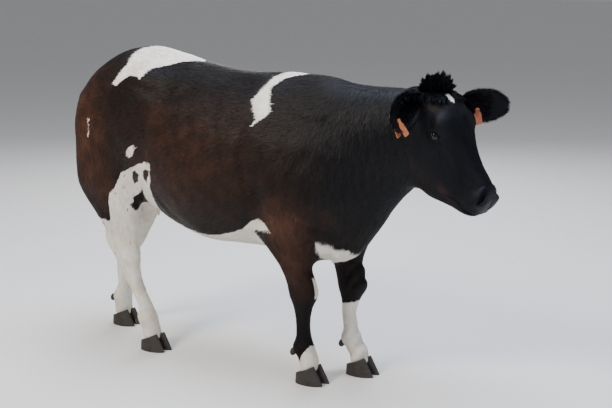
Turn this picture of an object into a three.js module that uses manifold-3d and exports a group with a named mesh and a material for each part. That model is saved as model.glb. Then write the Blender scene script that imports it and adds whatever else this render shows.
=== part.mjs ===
// A young polled black-and-white cow, life size, standing still.
// Millimetres. +X is forward, +Y is the cow's left, +Z is up; the floor is z = 0.
// The flesh is one implicit body: trunk, head and legs are lofts through named stations, blended
// where they meet and swollen or hollowed by its muscles and bones. It is turned into one faceted
// solid and then parted with thin cuts into the pieces a person would name.
import * as THREE from 'three';
import { ParametricGeometry } from 'three/addons/geometries/ParametricGeometry.js';
import { mergeVertices } from 'three/addons/utils/BufferGeometryUtils.js';
import Module from 'manifold-3d';

const wasm = await Module();
wasm.setup();

// ---------------------------------------------------------------- driving dimensions
const MIDDLE = 173;          // the stations' x = 0 (mid-feet) lies this far behind the part's origin
const GAP = 0.4;             // thin cut between touching pieces
const NECK_BLEND = 60;       // how softly head and neck run together
const LEG_BLEND = 70;        // how softly legs and trunk run together
const FILLET_REACH = 62;     // how far a blend can stand off its own loft
const SINK = 10;             // how far one loft's end is drawn in under its neighbour's skin

// Trunk and neck, rear to front: x, top, bottom, half width, widest level, upper and lower roundness
const TRUNK = [
  [-782, 1010, 850, 60, 940, 2.0, 2.0],    // tail head
  [-750, 1090, 790, 130, 975, 2.1, 2.0],   // pins
  [-690, 1163, 750, 190, 1000, 2.2, 2.0],
  [-600, 1228, 700, 236, 1045, 2.3, 2.0],  // rump
  [-470, 1286, 638, 252, 1055, 2.4, 2.0],
  [-340, 1270, 580, 265, 980, 2.4, 2.0],   // hooks
  [-200, 1240, 535, 292, 880, 2.3, 2.1],   // loin
  [-40, 1215, 502, 312, 820, 2.2, 2.2],    // deepest belly
  [120, 1205, 505, 306, 820, 2.1, 2.2],
  [260, 1212, 505, 280, 830, 2.0, 2.2],    // girth
  [380, 1210, 486, 250, 820, 1.8, 2.1],
  [480, 1206, 478, 222, 800, 1.7, 2.0],    // withers
  [580, 1184, 490, 190, 800, 1.8, 1.9],
  [660, 1178, 575, 164, 850, 1.9, 1.9],    // chest
  [740, 1178, 684, 140, 920, 2.0, 2.0],
  [830, 1174, 778, 122, 975, 2.0, 2.0],    // neck
  [905, 1168, 842, 104, 1010, 2.0, 2.0],   // behind the ears
];
const TRUNK_CAP = 50;

// Head, from the poll down the face: distance, forehead, jaw, half width, widest level, roundness
const POLL = new THREE.Vector3(985, 0, 1178);
const HEAD_PITCH = 58;       // degrees that the face points below level
const HEAD = [
  [-25, -40, -160, 60, -90, 2.0, 2.0],     // poll
  [0, -8, -205, 76, -80, 2.2, 2.0],
  [50, 14, -250, 92, -70, 2.5, 2.2],       // forehead
  [115, 20, -296, 106, -64, 2.6, 2.5],     // brows
  [170, 8, -302, 101, -70, 2.4, 2.6],      // cheeks
  [235, -6, -286, 80, -84, 2.2, 2.5],
  [305, -14, -262, 67, -86, 2.1, 2.4],     // bridge of the nose
  [365, -14, -212, 62, -80, 2.2, 2.2],
  [420, -25, -166, 68, -76, 2.3, 2.3],     // nostrils
  [458, -49, -136, 57, -80, 2.3, 2.3],     // lips
];
const HEAD_CAP = 40;

// Legs of the right side, foot to body: z, front x, rear x, inner y, outer y, roundness
const FORE = [
  [40, 480, 424, 66, 144, 2.2],            // between the claws
  [65, 489, 418, 62, 148, 2.2],            // coronet
  [95, 488, 412, 64, 146, 2.1],            // pastern
  [135, 470, 385, 60, 150, 2.2],           // fetlock
  [180, 456, 398, 70, 140, 2.1],
  [240, 452, 396, 74, 136, 2.1],           // cannon
  [300, 464, 388, 70, 142, 2.2],
  [350, 486, 372, 60, 154, 2.4],           // knee
  [400, 482, 356, 60, 158, 2.2],
  [460, 462, 335, 56, 178, 2.1],
  [520, 475, 305, 50, 205, 2.1],           // forearm
  [600, 505, 282, 45, 235, 2.0],           // elbow
  [680, 560, 285, 45, 255, 2.0],
  [780, 610, 310, 55, 250, 2.0],           // shoulder
  [900, 600, 350, 70, 222, 2.0],
  [980, 580, 385, 80, 196, 2.0],
  [1060, 540, 440, 85, 125, 2.0],          // shoulder blade, inside the body
];
const HIND = [
  [40, -330, -386, 77, 155, 2.2],          // between the claws
  [65, -326, -396, 72, 160, 2.2],          // coronet
  [95, -334, -408, 74, 158, 2.1],          // pastern
  [135, -348, -425, 70, 164, 2.2],         // fetlock
  [180, -368, -424, 80, 152, 2.1],
  [250, -405, -466, 84, 150, 2.1],         // cannon
  [330, -428, -525, 84, 156, 2.1],
  [400, -425, -562, 78, 166, 2.2],
  [450, -427, -602, 76, 172, 2.1],         // hock
  [500, -424, -608, 76, 176, 1.9],
  [560, -420, -648, 70, 188, 1.9],
  [630, -410, -700, 60, 212, 1.9],         // gaskin
  [700, -392, -735, 40, 238, 1.9],
  [780, -385, -738, 25, 252, 1.9],         // thigh
  [870, -410, -728, 15, 262, 1.8],
  [960, -450, -715, 10, 260, 1.8],
  [1060, -490, -675, 10, 235, 1.8],        // buttock
];
const LEG_CAP = 14;
// The left legs stand as the right ones, moved along x by these amounts at these heights
const LEFT_FORE_STEP = [[0, 100], [65, 100], [135, 88], [250, 78], [350, 88], [520, 88], [700, 40], [900, 0]];
const LEFT_HIND_STEP = [[0, -385], [65, -385], [135, -365], [250, -305], [342, -240], [430, -175],
  [500, -135], [560, -105], [700, -50], [800, -20], [900, 0]];

// Swellings (+) and hollows (-) of muscle and bone, the same on both sides: centre, reach, height
const SWELLINGS = [
  { at: [-285, 232, 1172], reach: [75, 60, 62], height: 16 },     // hook bone
  { at: [-140, 245, 1145], reach: [95, 75, 50], height: -17 },    // hunger hollow
  { at: [-262, 275, 930], reach: [48, 80, 170], height: -10 },    // groove before the thigh
  { at: [-480, 262, 930], reach: [190, 90, 200], height: 16 },    // thigh
  { at: [-725, 95, 1085], reach: [50, 45, 45], height: 12 },      // pin bone
  { at: [405, 245, 850], reach: [110, 90, 190], height: 16 },     // shoulder muscle
  { at: [300, 285, 760], reach: [45, 90, 150], height: -13 },     // groove behind the shoulder
  { at: [600, 165, 760], reach: [60, 60, 80], height: 12 },       // point of the shoulder
  { at: [500, 95, 1165], reach: [90, 60, 60], height: 8 },        // top of the shoulder blade
  { at: [760, 118, 860], reach: [120, 60, 45], height: -8 },      // jugular groove
];
// The same for the head, as distance down the face, sideways, and out from the face line
const FACE_SWELLINGS = [
  { at: [12, 76, -62], reach: [36, 28, 32], height: 15 },         // root of the ear
  { at: [124, 106, -26], reach: [36, 30, 27], height: 40 },        // brow over the eye
  { at: [146, 112, -72], reach: [30, 26, 26], height: 4 },        // ball of the eye
  { at: [190, 96, -70], reach: [60, 30, 26], height: 6 },         // cheek bone
  { at: [250, 88, -190], reach: [60, 30, 46], height: 7 },        // jaw muscle
  { at: [428, 52, -44], reach: [30, 26, 26], height: 8 },         // wing of the nostril
];

// Small parts
const EYE = { down: 144, side: 98, out: -70, radius: 21 };
const EAR_LENGTH = 238;
const EAR_WIDTH = 120;
const EAR_THICKNESS = 9;
const LEFT_EAR = { root: [38, 82, -66], along: [0.73, 0.68, -0.03], open: [0.67, -0.72, -0.19] };
const RIGHT_EAR = { root: [-8, -74, -59], along: [0.02, -0.94, -0.35], open: [0.98, -0.05, 0.2] };
const TAG = { length: 60, width: 28, thick: 2.2, button: 9, neck: 9, stand: 6 };
const CLAW = { behind: 16, length: 127, width: 53, apart: 1.5, wall: 74, heel: 40, lean: 0.56 };
const DEWCLAW = { height: 122, apart: 27, radius: 13, length: 34 };
const TUFT = { at: [950, 0, 1176], radii: [74, 82, 72] };
const UDDER = { at: [-430, 0, 648], radii: [112, 84, 72], teat: 7, teatLength: 22, spread: [44, 36] };
const TAIL_PATH = [
  [-690, 0, 1118], [-758, 0, 1106], [-796, 4, 1040], [-806, 20, 880], [-802, 58, 710],
  [-806, 124, 560], [-812, 178, 460], [-812, 205, 380],
];
const TAIL_ROOT = 36;
const TAIL_END = 13;
const SWITCH_PATH = [[-812, 190, 440], [-814, 206, 380], [-812, 214, 320], [-808, 218, 262]];
const SWITCH_RADIUS = 34;

// ---------------------------------------------------------------- curves and blends
// A curve through stations, with parabola tangents, so that it runs through each without a kink
function curve(xs, ys) {
  const last = xs.length - 1;
  const step = xs.slice(1).map((x, i) => x - xs[i]);
  const slope = step.map((h, i) => (ys[i + 1] - ys[i]) / h);
  const tangent = ys.map((_, i) => (i === 0 || i === last ? 0
    : (step[i] * slope[i - 1] + step[i - 1] * slope[i]) / (step[i] + step[i - 1])));
  tangent[0] = 1.5 * slope[0] - 0.5 * tangent[1];
  tangent[last] = 1.5 * slope[last - 1] - 0.5 * tangent[last - 1];
  return (x) => {
    let i = 0;
    while (i < last - 1 && x > xs[i + 1]) i += 1;
    const t = (x - xs[i]) / step[i];
    return ys[i] * (2 * t ** 3 - 3 * t ** 2 + 1) + tangent[i] * step[i] * (t ** 3 - 2 * t ** 2 + t)
      + ys[i + 1] * (3 * t ** 2 - 2 * t ** 3) + tangent[i + 1] * step[i] * (t ** 3 - t ** 2);
  };
}

// The columns of a station table as curves over its first column
function stations(rows) {
  const along = rows.map((row) => row[0]);
  const columns = rows[0].slice(1).map((_, k) => curve(along, rows.map((row) => row[k + 1])));
  const from = along[0];
  const to = along[along.length - 1];
  return { from, to, at: (s) => columns.map((column) => column(THREE.MathUtils.clamp(s, from, to))) };
}

function softMax(a, b, blend) {
  const h = Math.max(blend - Math.abs(a - b), 0) / blend;
  return Math.max(a, b) + h * h * blend / 4;
}

function softMin(a, b, blend) {
  return -softMax(-a, -b, blend);
}

function lerpTable(table, x) {
  let i = 0;
  while (i < table.length - 2 && x > table[i + 1][0]) i += 1;
  const [x0, y0] = table[i];
  const [x1, y1] = table[i + 1];
  return y0 + (y1 - y0) * THREE.MathUtils.clamp((x - x0) / (x1 - x0), 0, 1);
}

// Distance, along the ray from the middle, to a superellipse with half axes wide and high
function sectionDistance(a, b, wide, high, round) {
  const g = (Math.abs(a / wide) ** round + Math.abs(b / high) ** round) ** (1 / round);
  const deepest = -Math.min(wide, high);
  return g > 1e-6 ? Math.max(Math.hypot(a, b) * (1 - 1 / g), deepest) : deepest;
}

// ---------------------------------------------------------------- the body as one field
// Every field is negative inside the body and positive outside, in about millimetres.
const trunkStations = stations(TRUNK);
const headStations = stations(HEAD);
const pitch = THREE.MathUtils.degToRad(HEAD_PITCH);
const FACE_DOWN = new THREE.Vector3(Math.cos(pitch), 0, -Math.sin(pitch));
const FACE_OUT = new THREE.Vector3(Math.sin(pitch), 0, Math.cos(pitch));

function stepped(rows, steps) {
  return rows.map(([z, front, rear, ...rest]) => [z, front + lerpTable(steps, z), rear + lerpTable(steps, z), ...rest]);
}

// covered is the height above which the trunk's skin lies over the leg's
const LEGS = {
  fore_right: { side: -1, covered: 740, rows: FORE },
  fore_left: { side: 1, covered: 740, rows: stepped(FORE, LEFT_FORE_STEP) },
  hind_right: { side: -1, covered: 860, rows: HIND },
  hind_left: { side: 1, covered: 860, rows: stepped(HIND, LEFT_HIND_STEP) },
};
for (const leg of Object.values(LEGS)) leg.stations = stations(leg.rows);

function onHead(down, side, out) {
  return POLL.clone().addScaledVector(FACE_DOWN, down).addScaledVector(FACE_OUT, out)
    .add(new THREE.Vector3(0, side, 0));
}

function trunkField(p) {
  const [top, bottom, wide, level, upper, lower] = trunkStations.at(p.x);
  const b = p.z - level;
  const high = b > 0 ? top - level : level - bottom;
  const end = Math.max(trunkStations.from - p.x, p.x - trunkStations.to);
  return softMax(sectionDistance(p.y, b, wide, high, b > 0 ? upper : lower), end, TRUNK_CAP);
}

function headField(p) {
  const q = p.clone().sub(POLL);
  const down = q.dot(FACE_DOWN);
  const [top, bottom, wide, level, upper, lower] = headStations.at(down);
  const b = q.dot(FACE_OUT) - level;
  const high = b > 0 ? top - level : level - bottom;
  const end = Math.max(headStations.from - down, down - headStations.to);
  return softMax(sectionDistance(p.y, b, wide, high, b > 0 ? upper : lower), end, HEAD_CAP);
}

function legField(leg, p) {
  const [front, rear, inner, outer, round] = leg.stations.at(p.z);
  const a = p.x - (front + rear) / 2;
  const b = p.y - leg.side * (inner + outer) / 2;
  const end = Math.max(leg.stations.from - p.z, p.z - leg.stations.to);
  return softMax(sectionDistance(a, b, (front - rear) / 2, (outer - inner) / 2, round), end, LEG_CAP);
}

function swelling(list, x, y, z) {
  let sum = 0;
  for (const { at, reach, height } of list) {
    for (const side of [1, -1]) {
      const q = [(x - at[0]) / reach[0], (y - side * at[1]) / reach[1], (z - at[2]) / reach[2]];
      sum += height * Math.exp(-(q[0] ** 2 + q[1] ** 2 + q[2] ** 2));
    }
  }
  return sum;
}

function bodyField(p) {
  let d = softMin(trunkField(p), headField(p), NECK_BLEND);
  for (const leg of Object.values(LEGS)) d = softMin(d, legField(leg, p), LEG_BLEND);
  const q = p.clone().sub(POLL);
  return d - swelling(SWELLINGS, p.x, p.y, p.z)
    - swelling(FACE_SWELLINGS, q.dot(FACE_DOWN), p.y, q.dot(FACE_OUT));
}

// ---------------------------------------------------------------- solids
// How far a ray runs from inside a field to its skin, looking no further than limit
function reach(field, from, direction, limit) {
  const point = new THREE.Vector3();
  const value = (r) => field(point.copy(from).addScaledVector(direction, r));
  const stride = 12;
  let inside = 0;
  while (inside < limit && value(Math.min(inside + stride, limit)) <= 0) inside += stride;
  if (inside >= limit) return limit;
  let outside = inside + stride;
  for (let k = 0; k < 14; k += 1) {
    const middle = (inside + outside) / 2;
    if (value(middle) > 0) outside = middle;
    else inside = middle;
  }
  return Math.min(outside, limit);
}

// A closed grid surface as a solid: point(u, v) for u round it and v from one pole to the other
function gridSolid(point, around, along) {
  const geometry = new ParametricGeometry((u, v, target) => target.copy(point(u % 1, v)), around, along);
  return solidOf(geometry);
}

function solidOf(geometry) {
  const bare = geometry.index ? geometry : mergeVertices(geometry);
  bare.deleteAttribute('normal');
  bare.deleteAttribute('uv');
  const merged = mergeVertices(bare, 1e-3);
  const position = merged.attributes.position;
  const corners = [];
  let volume = 0;
  const [a, b, c] = [0, 1, 2].map(() => new THREE.Vector3());
  for (let i = 0; i < merged.index.count; i += 3) {
    const triangle = [0, 1, 2].map((k) => merged.index.getX(i + k));
    if (new Set(triangle).size < 3) continue;
    corners.push(...triangle);
    [a, b, c].forEach((v, k) => v.fromBufferAttribute(position, triangle[k]));
    volume += a.dot(b.cross(c)) / 6;
  }
  if (volume < 0) corners.reverse();
  return new wasm.Manifold(new wasm.Mesh({
    numProp: 3,
    vertProperties: Float32Array.from(position.array),
    triVerts: Uint32Array.from(corners),
  }));
}

// A skin of the field round an axis: rings square to the axis, and a rounded cap of tilted rings at
// each end. own is the loft that the axis runs in, whose own skin bounds how far the rays look, and
// sink(p) says how far the skin is drawn in where a neighbour's skin lies over it.
function marchedSolid({ axis, across, up, own, level, sink, around, rings, caps }) {
  const stacks = rings + 2 * caps;
  return gridSolid((u, v) => {
    const row = Math.round(v * stacks);
    const ring = THREE.MathUtils.clamp(row - caps, 0, rings);
    const t = ring / rings;
    const from = axis(t);
    const ahead = axis(Math.min(t + 0.01, 1)).sub(axis(Math.max(t - 0.01, 0))).normalize();
    const tilt = (row - caps - ring) / caps * Math.PI / 2;
    const turn = u * 2 * Math.PI;
    const outward = across.clone().multiplyScalar(Math.cos(turn)).addScaledVector(up, Math.sin(turn));
    const direction = outward.multiplyScalar(Math.cos(tilt)).addScaledVector(ahead, Math.sin(tilt));
    if (Math.abs(tilt) > 1.57) direction.copy(ahead).multiplyScalar(Math.sign(tilt));
    direction.normalize();
    const field = (p) => bodyField(p) - level + sink(p);
    const limit = reach(own, from, direction, 900) + FILLET_REACH;
    return from.addScaledVector(direction, reach(field, from, direction, limit));
  }, around, stacks);
}

const Y = new THREE.Vector3(0, 1, 0);
const X = new THREE.Vector3(1, 0, 0);
const Z = new THREE.Vector3(0, 0, 1);

function trunkSolid(level) {
  const from = -650;
  const to = 850;
  return marchedSolid({
    axis: (t) => {
      const x = from + (to - from) * t;
      return new THREE.Vector3(x, 0, trunkStations.at(x)[3]);
    },
    across: Y, up: Z, own: trunkField, level, around: 20, rings: 21, caps: 3,
    sink: (p) => SINK * THREE.MathUtils.smoothstep(p.x, 830, 900),
  });
}

function headSolid(level) {
  const from = 50;
  const to = 415;
  return marchedSolid({
    axis: (t) => onHead(from + (to - from) * t, 0, headStations.at(from + (to - from) * t)[3] - 20 * (1 - t)),
    across: Y, up: FACE_OUT, own: headField, level, around: 18, rings: 12, caps: 3,
    sink: (p) => SINK * THREE.MathUtils.smoothstep(-p.x, -880, -820),
  });
}

function legSolid(leg, level) {
  const from = leg.stations.from + 20;
  const to = leg.stations.to - 60;
  return marchedSolid({
    axis: (t) => {
      const z = from + (to - from) * t;
      const [front, rear, inner, outer] = leg.stations.at(z);
      return new THREE.Vector3((front + rear) / 2, leg.side * (inner + outer) / 2, z);
    },
    across: X, up: Y, own: (p) => legField(leg, p), level, around: 12, rings: 13, caps: 2,
    sink: (p) => SINK * THREE.MathUtils.smoothstep(p.z, leg.covered - 60, leg.covered + 20),
  });
}

// The whole flesh. level moves its skin out by that much, which gives the cutter that leaves a gap.
function fleshSolid(level) {
  let flesh = trunkSolid(level).add(headSolid(level));
  for (const leg of Object.values(LEGS)) flesh = flesh.add(legSolid(leg, level));
  return flesh;
}

// Everything ahead of a plane, as a block far larger than the cow
function ahead(point, normal) {
  const size = 6000;
  const block = new THREE.Mesh(new THREE.BoxGeometry(size, size, size));
  block.quaternion.setFromUnitVectors(X, normal.clone().normalize());
  block.position.copy(point).addScaledVector(normal.clone().normalize(), size / 2);
  block.updateMatrix();
  return solidOf(block.geometry.applyMatrix4(block.matrix));
}

// Part a solid at a plane into what lies ahead of it and what lies behind, with a thin cut between
function part(solid, point, normal) {
  const behind = point.clone().addScaledVector(normal.clone().normalize(), -GAP);
  return [solid.intersect(ahead(point, normal)), solid.subtract(ahead(behind, normal))];
}

// A closed tube of changing radius along a path
function tubeSolid(points, radius, around, along) {
  const path = new THREE.CatmullRomCurve3(points.map((p) => new THREE.Vector3(...p)));
  return gridSolid((u, v) => {
    const centre = path.getPointAt(v);
    const tangent = path.getTangentAt(v);
    const side = Y.clone().addScaledVector(tangent, -tangent.y).normalize();
    const front = side.clone().cross(tangent);
    const turn = u * 2 * Math.PI;
    const r = v === 0 || v === 1 ? 0 : radius(v);
    return centre.addScaledVector(side, r * Math.cos(turn)).addScaledVector(front, r * Math.sin(turn));
  }, around, along);
}

function ellipsoidSolid(at, radii, around, along) {
  const ball = new THREE.SphereGeometry(1, around, along);
  ball.scale(...radii).translate(...at);
  return solidOf(ball);
}

// ---------------------------------------------------------------- legs
// The room a leg takes, a little wider than the leg itself, up to where it is parted from the trunk
function legRoom(leg, top, extra) {
  const from = -40;
  return gridSolid((u, v) => {
    const z = THREE.MathUtils.lerp(from - extra, top + extra, THREE.MathUtils.clamp((v * 10 - 1) / 8, 0, 1));
    const [front, rear, inner, outer] = leg.stations.at(z);
    const long = (front - rear) / 2 + 30 + extra;
    const wide = (outer + 110 - inner + 14) / 2 + extra;
    const middle = new THREE.Vector3((front + rear) / 2, leg.side * ((outer + 110 + inner - 14) / 2), z);
    if (v === 0 || v === 1) return middle;
    const turn = u * 2 * Math.PI;
    const round = 0.72;
    const along = Math.sign(Math.cos(turn)) * Math.abs(Math.cos(turn)) ** round;
    const across = Math.sign(Math.sin(turn)) * Math.abs(Math.sin(turn)) ** round;
    return middle.add(new THREE.Vector3(along * long, across * wide, 0));
  }, 16, 10);
}

// Where a leg's foot stands on the floor
function footOf(leg) {
  const [front, rear, inner, outer] = leg.stations.at(0);
  return { rear: rear - CLAW.behind, centre: leg.side * (inner + outer) / 2 };
}

// One claw of a cloven hoof: a flat sole, a wall that leans back from the toe, and a sloping top.
// hand is 1 for the claw on the foot's left.
function clawSolid(leg, hand, extra) {
  const { rear, centre } = footOf(leg);
  const rows = 5;
  return gridSolid((u, v) => {
    const row = Math.round(v * rows);
    const rise = THREE.MathUtils.clamp((row - 1) / (rows - 2), 0, 1);
    const turn = u * 2 * Math.PI;
    const shrink = 1 - 0.12 * rise;
    const pole = row === 0 || row === rows;
    const toe = pole ? 0 : Math.cos(turn);
    const pinch = 1 - 0.3 * Math.max(toe, 0) ** 2;
    const long = (CLAW.length / 2 + extra) * (1 - 0.16 * rise);
    const flat = Math.sin(turn) * hand < 0 ? 0.86 : 1;
    const wide = (CLAW.width / 2 + extra) * shrink * pinch * flat;
    const top = THREE.MathUtils.lerp(CLAW.heel, CLAW.wall, (toe + 1) / 2) + extra;
    const z = rise * (pole ? (CLAW.heel + CLAW.wall) / 2 + extra : top) - (rise === 0 ? extra : 0);
    const x = rear + CLAW.length / 2 + toe * long - z * CLAW.lean * (0.55 + 0.25 * toe);
    const y = centre + hand * (CLAW.width / 2 + CLAW.apart)
      + (pole ? 0 : Math.sin(turn) * wide) - hand * 5 * Math.max(toe, 0) ** 2;
    return new THREE.Vector3(x, y, z);
  }, 12, rows);
}

function dewclawSolid(leg, hand) {
  const [, rear, inner, outer] = leg.stations.at(DEWCLAW.height);
  const claw = new THREE.SphereGeometry(1, 7, 4);
  claw.scale(DEWCLAW.radius, DEWCLAW.radius * 0.85, DEWCLAW.length / 2);
  claw.rotateY(THREE.MathUtils.degToRad(24));
  claw.translate(rear + 3, leg.side * (inner + outer) / 2 + hand * DEWCLAW.apart, DEWCLAW.height);
  return solidOf(claw);
}

// ---------------------------------------------------------------- ears and tags
// A frame at the ear's root: along the ear, across it, and out of its opening
function earFrame(ear) {
  const along = new THREE.Vector3(...ear.along).normalize();
  const open = new THREE.Vector3(...ear.open);
  open.addScaledVector(along, -open.dot(along)).normalize();
  return { root: onHead(...ear.root), along, open, across: open.clone().cross(along) };
}

const earWidthCurve = curve([0, 0.12, 0.3, 0.5, 0.7, 0.86, 0.95, 1], [0.3, 0.44, 0.8, 1, 0.96, 0.7, 0.42, 0.1]);
const earCupCurve = curve([0, 0.15, 0.4, 0.7, 1], [0.95, 0.85, 0.5, 0.3, 0.15]);

// A point of the ear's shell: v along it, t from -1 to 1 across it, face 1 inside the cup, -1 behind
function earPoint(ear, v, t, face) {
  const { root, along, across, open } = earFrame(ear);
  const half = EAR_WIDTH / 2 * earWidthCurve(v);
  const cup = half * earCupCurve(v) * (1 - t * t);
  const thick = EAR_THICKNESS / 2 * (1 - 0.5 * v) * Math.sqrt(1 - t * t);
  return root.clone().addScaledVector(along, EAR_LENGTH * v)
    .addScaledVector(across, half * t).addScaledVector(open, -cup + face * thick);
}

function earSolid(ear) {
  return gridSolid((u, v) => {
    const turn = u * 2 * Math.PI;
    if (v === 0 || v === 1) return earPoint(ear, v, 0, 0);
    return earPoint(ear, v, Math.cos(turn), Math.sin(turn) >= 0 ? 1 : -1);
  }, 12, 9);
}

// A flag tag on one face of an ear: a round button with a narrow plate that hangs from it along
// hang, whose width runs along side; both are in the ear's own frame of along, across and open
function tagSolid(ear, face, v, t, hang, side) {
  const { along, across, open } = earFrame(ear);
  const inEar = (a) => along.clone().multiplyScalar(a[0]).addScaledVector(across, a[1]).addScaledVector(open, a[2]);
  const down = inEar(hang).normalize();
  const width = inEar(side);
  width.addScaledVector(down, -width.dot(down)).normalize();
  const at = earPoint(ear, v, t, face).addScaledVector(open, face * TAG.stand);
  const frame = new THREE.Matrix4().makeBasis(width, down, width.clone().cross(down)).setPosition(at);
  const outline = new THREE.Shape();
  outline.moveTo(-TAG.neck / 2, 0);
  outline.lineTo(-TAG.width / 2, TAG.length * 0.3);
  outline.lineTo(-TAG.width / 2, TAG.length - 4);
  outline.lineTo(-TAG.width / 2 + 4, TAG.length);
  outline.lineTo(TAG.width / 2 - 4, TAG.length);
  outline.lineTo(TAG.width / 2, TAG.length - 4);
  outline.lineTo(TAG.width / 2, TAG.length * 0.3);
  outline.lineTo(TAG.neck / 2, 0);
  const plate = new THREE.ExtrudeGeometry(outline, { depth: TAG.thick, bevelEnabled: false });
  plate.translate(0, 0, -TAG.thick / 2).applyMatrix4(frame);
  const button = new THREE.CylinderGeometry(TAG.button, TAG.button, TAG.thick * 2, 9);
  const flat = new THREE.Matrix4().makeBasis(along, open, along.clone().cross(open)).setPosition(at);
  return solidOf(plate).add(solidOf(button.applyMatrix4(flat)));
}

// ---------------------------------------------------------------- the cow
const COAT_BLACK = new THREE.MeshStandardMaterial({ color: 0x1a1716, roughness: 0.85, metalness: 0 });
const COAT_WHITE = new THREE.MeshStandardMaterial({ color: 0xd9d4ca, roughness: 0.9, metalness: 0 });
const NOSE_SKIN = new THREE.MeshStandardMaterial({ color: 0x3a3c42, roughness: 0.45, metalness: 0 });
const UDDER_SKIN = new THREE.MeshStandardMaterial({ color: 0xc79a86, roughness: 0.7, metalness: 0 });
const EYE_GLOSS = new THREE.MeshStandardMaterial({ color: 0x0d0b0c, roughness: 0.1, metalness: 0 });
const HORN = new THREE.MeshStandardMaterial({ color: 0x4a4540, roughness: 0.6, metalness: 0 });
const TAG_PLASTIC = new THREE.MeshStandardMaterial({ color: 0xe0834f, roughness: 0.5, metalness: 0 });

const cow = new THREE.Group();
cow.position.x = -MIDDLE;

function add(name, solid, material) {
  const mesh = solid.getMesh();
  const geometry = new THREE.BufferGeometry();
  geometry.setAttribute('position', new THREE.BufferAttribute(mesh.vertProperties, 3));
  geometry.setIndex(new THREE.BufferAttribute(mesh.triVerts, 1));
  geometry.computeVertexNormals();
  const piece = new THREE.Mesh(geometry, material);
  piece.name = name;
  cow.add(piece);
}

const HANDS = { left: 1, right: -1 };
let flesh = fleshSolid(0);
const fleshGrown = fleshSolid(GAP);

// Feet, then the legs above them
const FOOT_ENDS = { fore: { joint: 345, top: 640 }, hind: { joint: 420, top: 760 } };
for (const [name, leg] of Object.entries(LEGS)) {
  const { joint, top } = FOOT_ENDS[name.slice(0, 4)];
  let limb = flesh.intersect(legRoom(leg, top, 0));
  flesh = flesh.subtract(legRoom(leg, top, GAP));
  for (const [handName, hand] of Object.entries(HANDS)) {
    limb = limb.subtract(clawSolid(leg, hand, GAP));
    add(`${name}_claw_${handName}`, clawSolid(leg, hand, 0), HORN);
    add(`${name}_dewclaw_${handName}`, dewclawSolid(leg, hand).subtract(fleshGrown), HORN);
  }
  const [front, rear] = leg.stations.at(joint);
  const [upper, lower] = part(limb, new THREE.Vector3((front + rear) / 2, 0, joint), Z);
  add(`${name}_upper`, upper, name.startsWith('fore') ? COAT_BLACK : COAT_WHITE);
  add(`${name}_lower`, lower, COAT_WHITE);
}

// Head, neck and trunk
const [forward, trunk] = part(flesh, new THREE.Vector3(620, 0, 900), new THREE.Vector3(1, 0, 0.24));
const [skull, neck] = part(forward, new THREE.Vector3(908, 0, 1000), new THREE.Vector3(1, 0, -0.07));
add('trunk', trunk, COAT_BLACK);
add('neck', neck, COAT_BLACK);

let face = skull;
for (const [handName, hand] of Object.entries(HANDS)) {
  const at = onHead(EYE.down, hand * EYE.side, EYE.out).toArray();
  const ball = (radius) => ellipsoidSolid(at, [radius, radius, radius], 10, 7);
  face = face.subtract(ball(EYE.radius + GAP));
  add(`eye_${handName}`, ball(EYE.radius), EYE_GLOSS);
}
const mouth = onHead(450, 0, -116);
const mouthNormal = FACE_OUT.clone().multiplyScalar(-1).addScaledVector(FACE_DOWN, 0.1);
const lowerHalf = part(face, mouth, mouthNormal);
const [jawFront, jawRear] = part(lowerHalf[0], onHead(262, 0, 0), FACE_DOWN);
add('lower_jaw', jawFront, COAT_BLACK);
const noseCut = new THREE.Vector3().copy(FACE_DOWN).addScaledVector(FACE_OUT, 0.35);
const jawRoom = (extra) => ahead(mouth.clone().addScaledVector(mouthNormal.clone().normalize(), -extra), mouthNormal)
  .intersect(ahead(onHead(262 - extra, 0, 0), FACE_DOWN));
const [nose, head] = part(face.subtract(jawRoom(GAP)), onHead(428, 0, -30), noseCut);
add('muzzle', nose, NOSE_SKIN);

// Ears with their tags, and the tuft on the poll
const leftEar = earSolid(LEFT_EAR).subtract(fleshGrown);
const rightEar = earSolid(RIGHT_EAR).subtract(fleshGrown);
add('head', head, COAT_BLACK);
add('ear_left', leftEar, COAT_BLACK);
add('ear_right', rightEar, COAT_BLACK);
add('tag_left_front', tagSolid(LEFT_EAR, 1, 0.49, -0.36, [0, -1, 0.9], [0.86, 0, 0.5]), TAG_PLASTIC);
add('tag_left_back', tagSolid(LEFT_EAR, -1, 0.49, -0.36, [0, -1, -0.1], [1, 0, 0]), TAG_PLASTIC);
add('tag_right_front', tagSolid(RIGHT_EAR, 1, 0.75, 0.22, [0, 1, 0.2], [1, 0, 0]), TAG_PLASTIC);
add('tag_right_back', tagSolid(RIGHT_EAR, -1, 0.75, 0.22, [0, 1, -0.1], [1, 0, 0]), TAG_PLASTIC);
add('poll_tuft', ellipsoidSolid(TUFT.at, TUFT.radii, 10, 7).subtract(fleshGrown), COAT_BLACK);

// Udder and tail
let udder = ellipsoidSolid(UDDER.at, UDDER.radii, 10, 6);
for (const along of [-1, 1]) {
  for (const hand of [-1, 1]) {
    const at = [UDDER.at[0] + along * UDDER.spread[0], hand * UDDER.spread[1],
      UDDER.at[2] - UDDER.radii[2] * 0.72 - UDDER.teatLength / 2];
    udder = udder.add(ellipsoidSolid(at, [UDDER.teat, UDDER.teat, UDDER.teatLength], 5, 4));
  }
}
add('udder', udder.subtract(fleshGrown), UDDER_SKIN);

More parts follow.
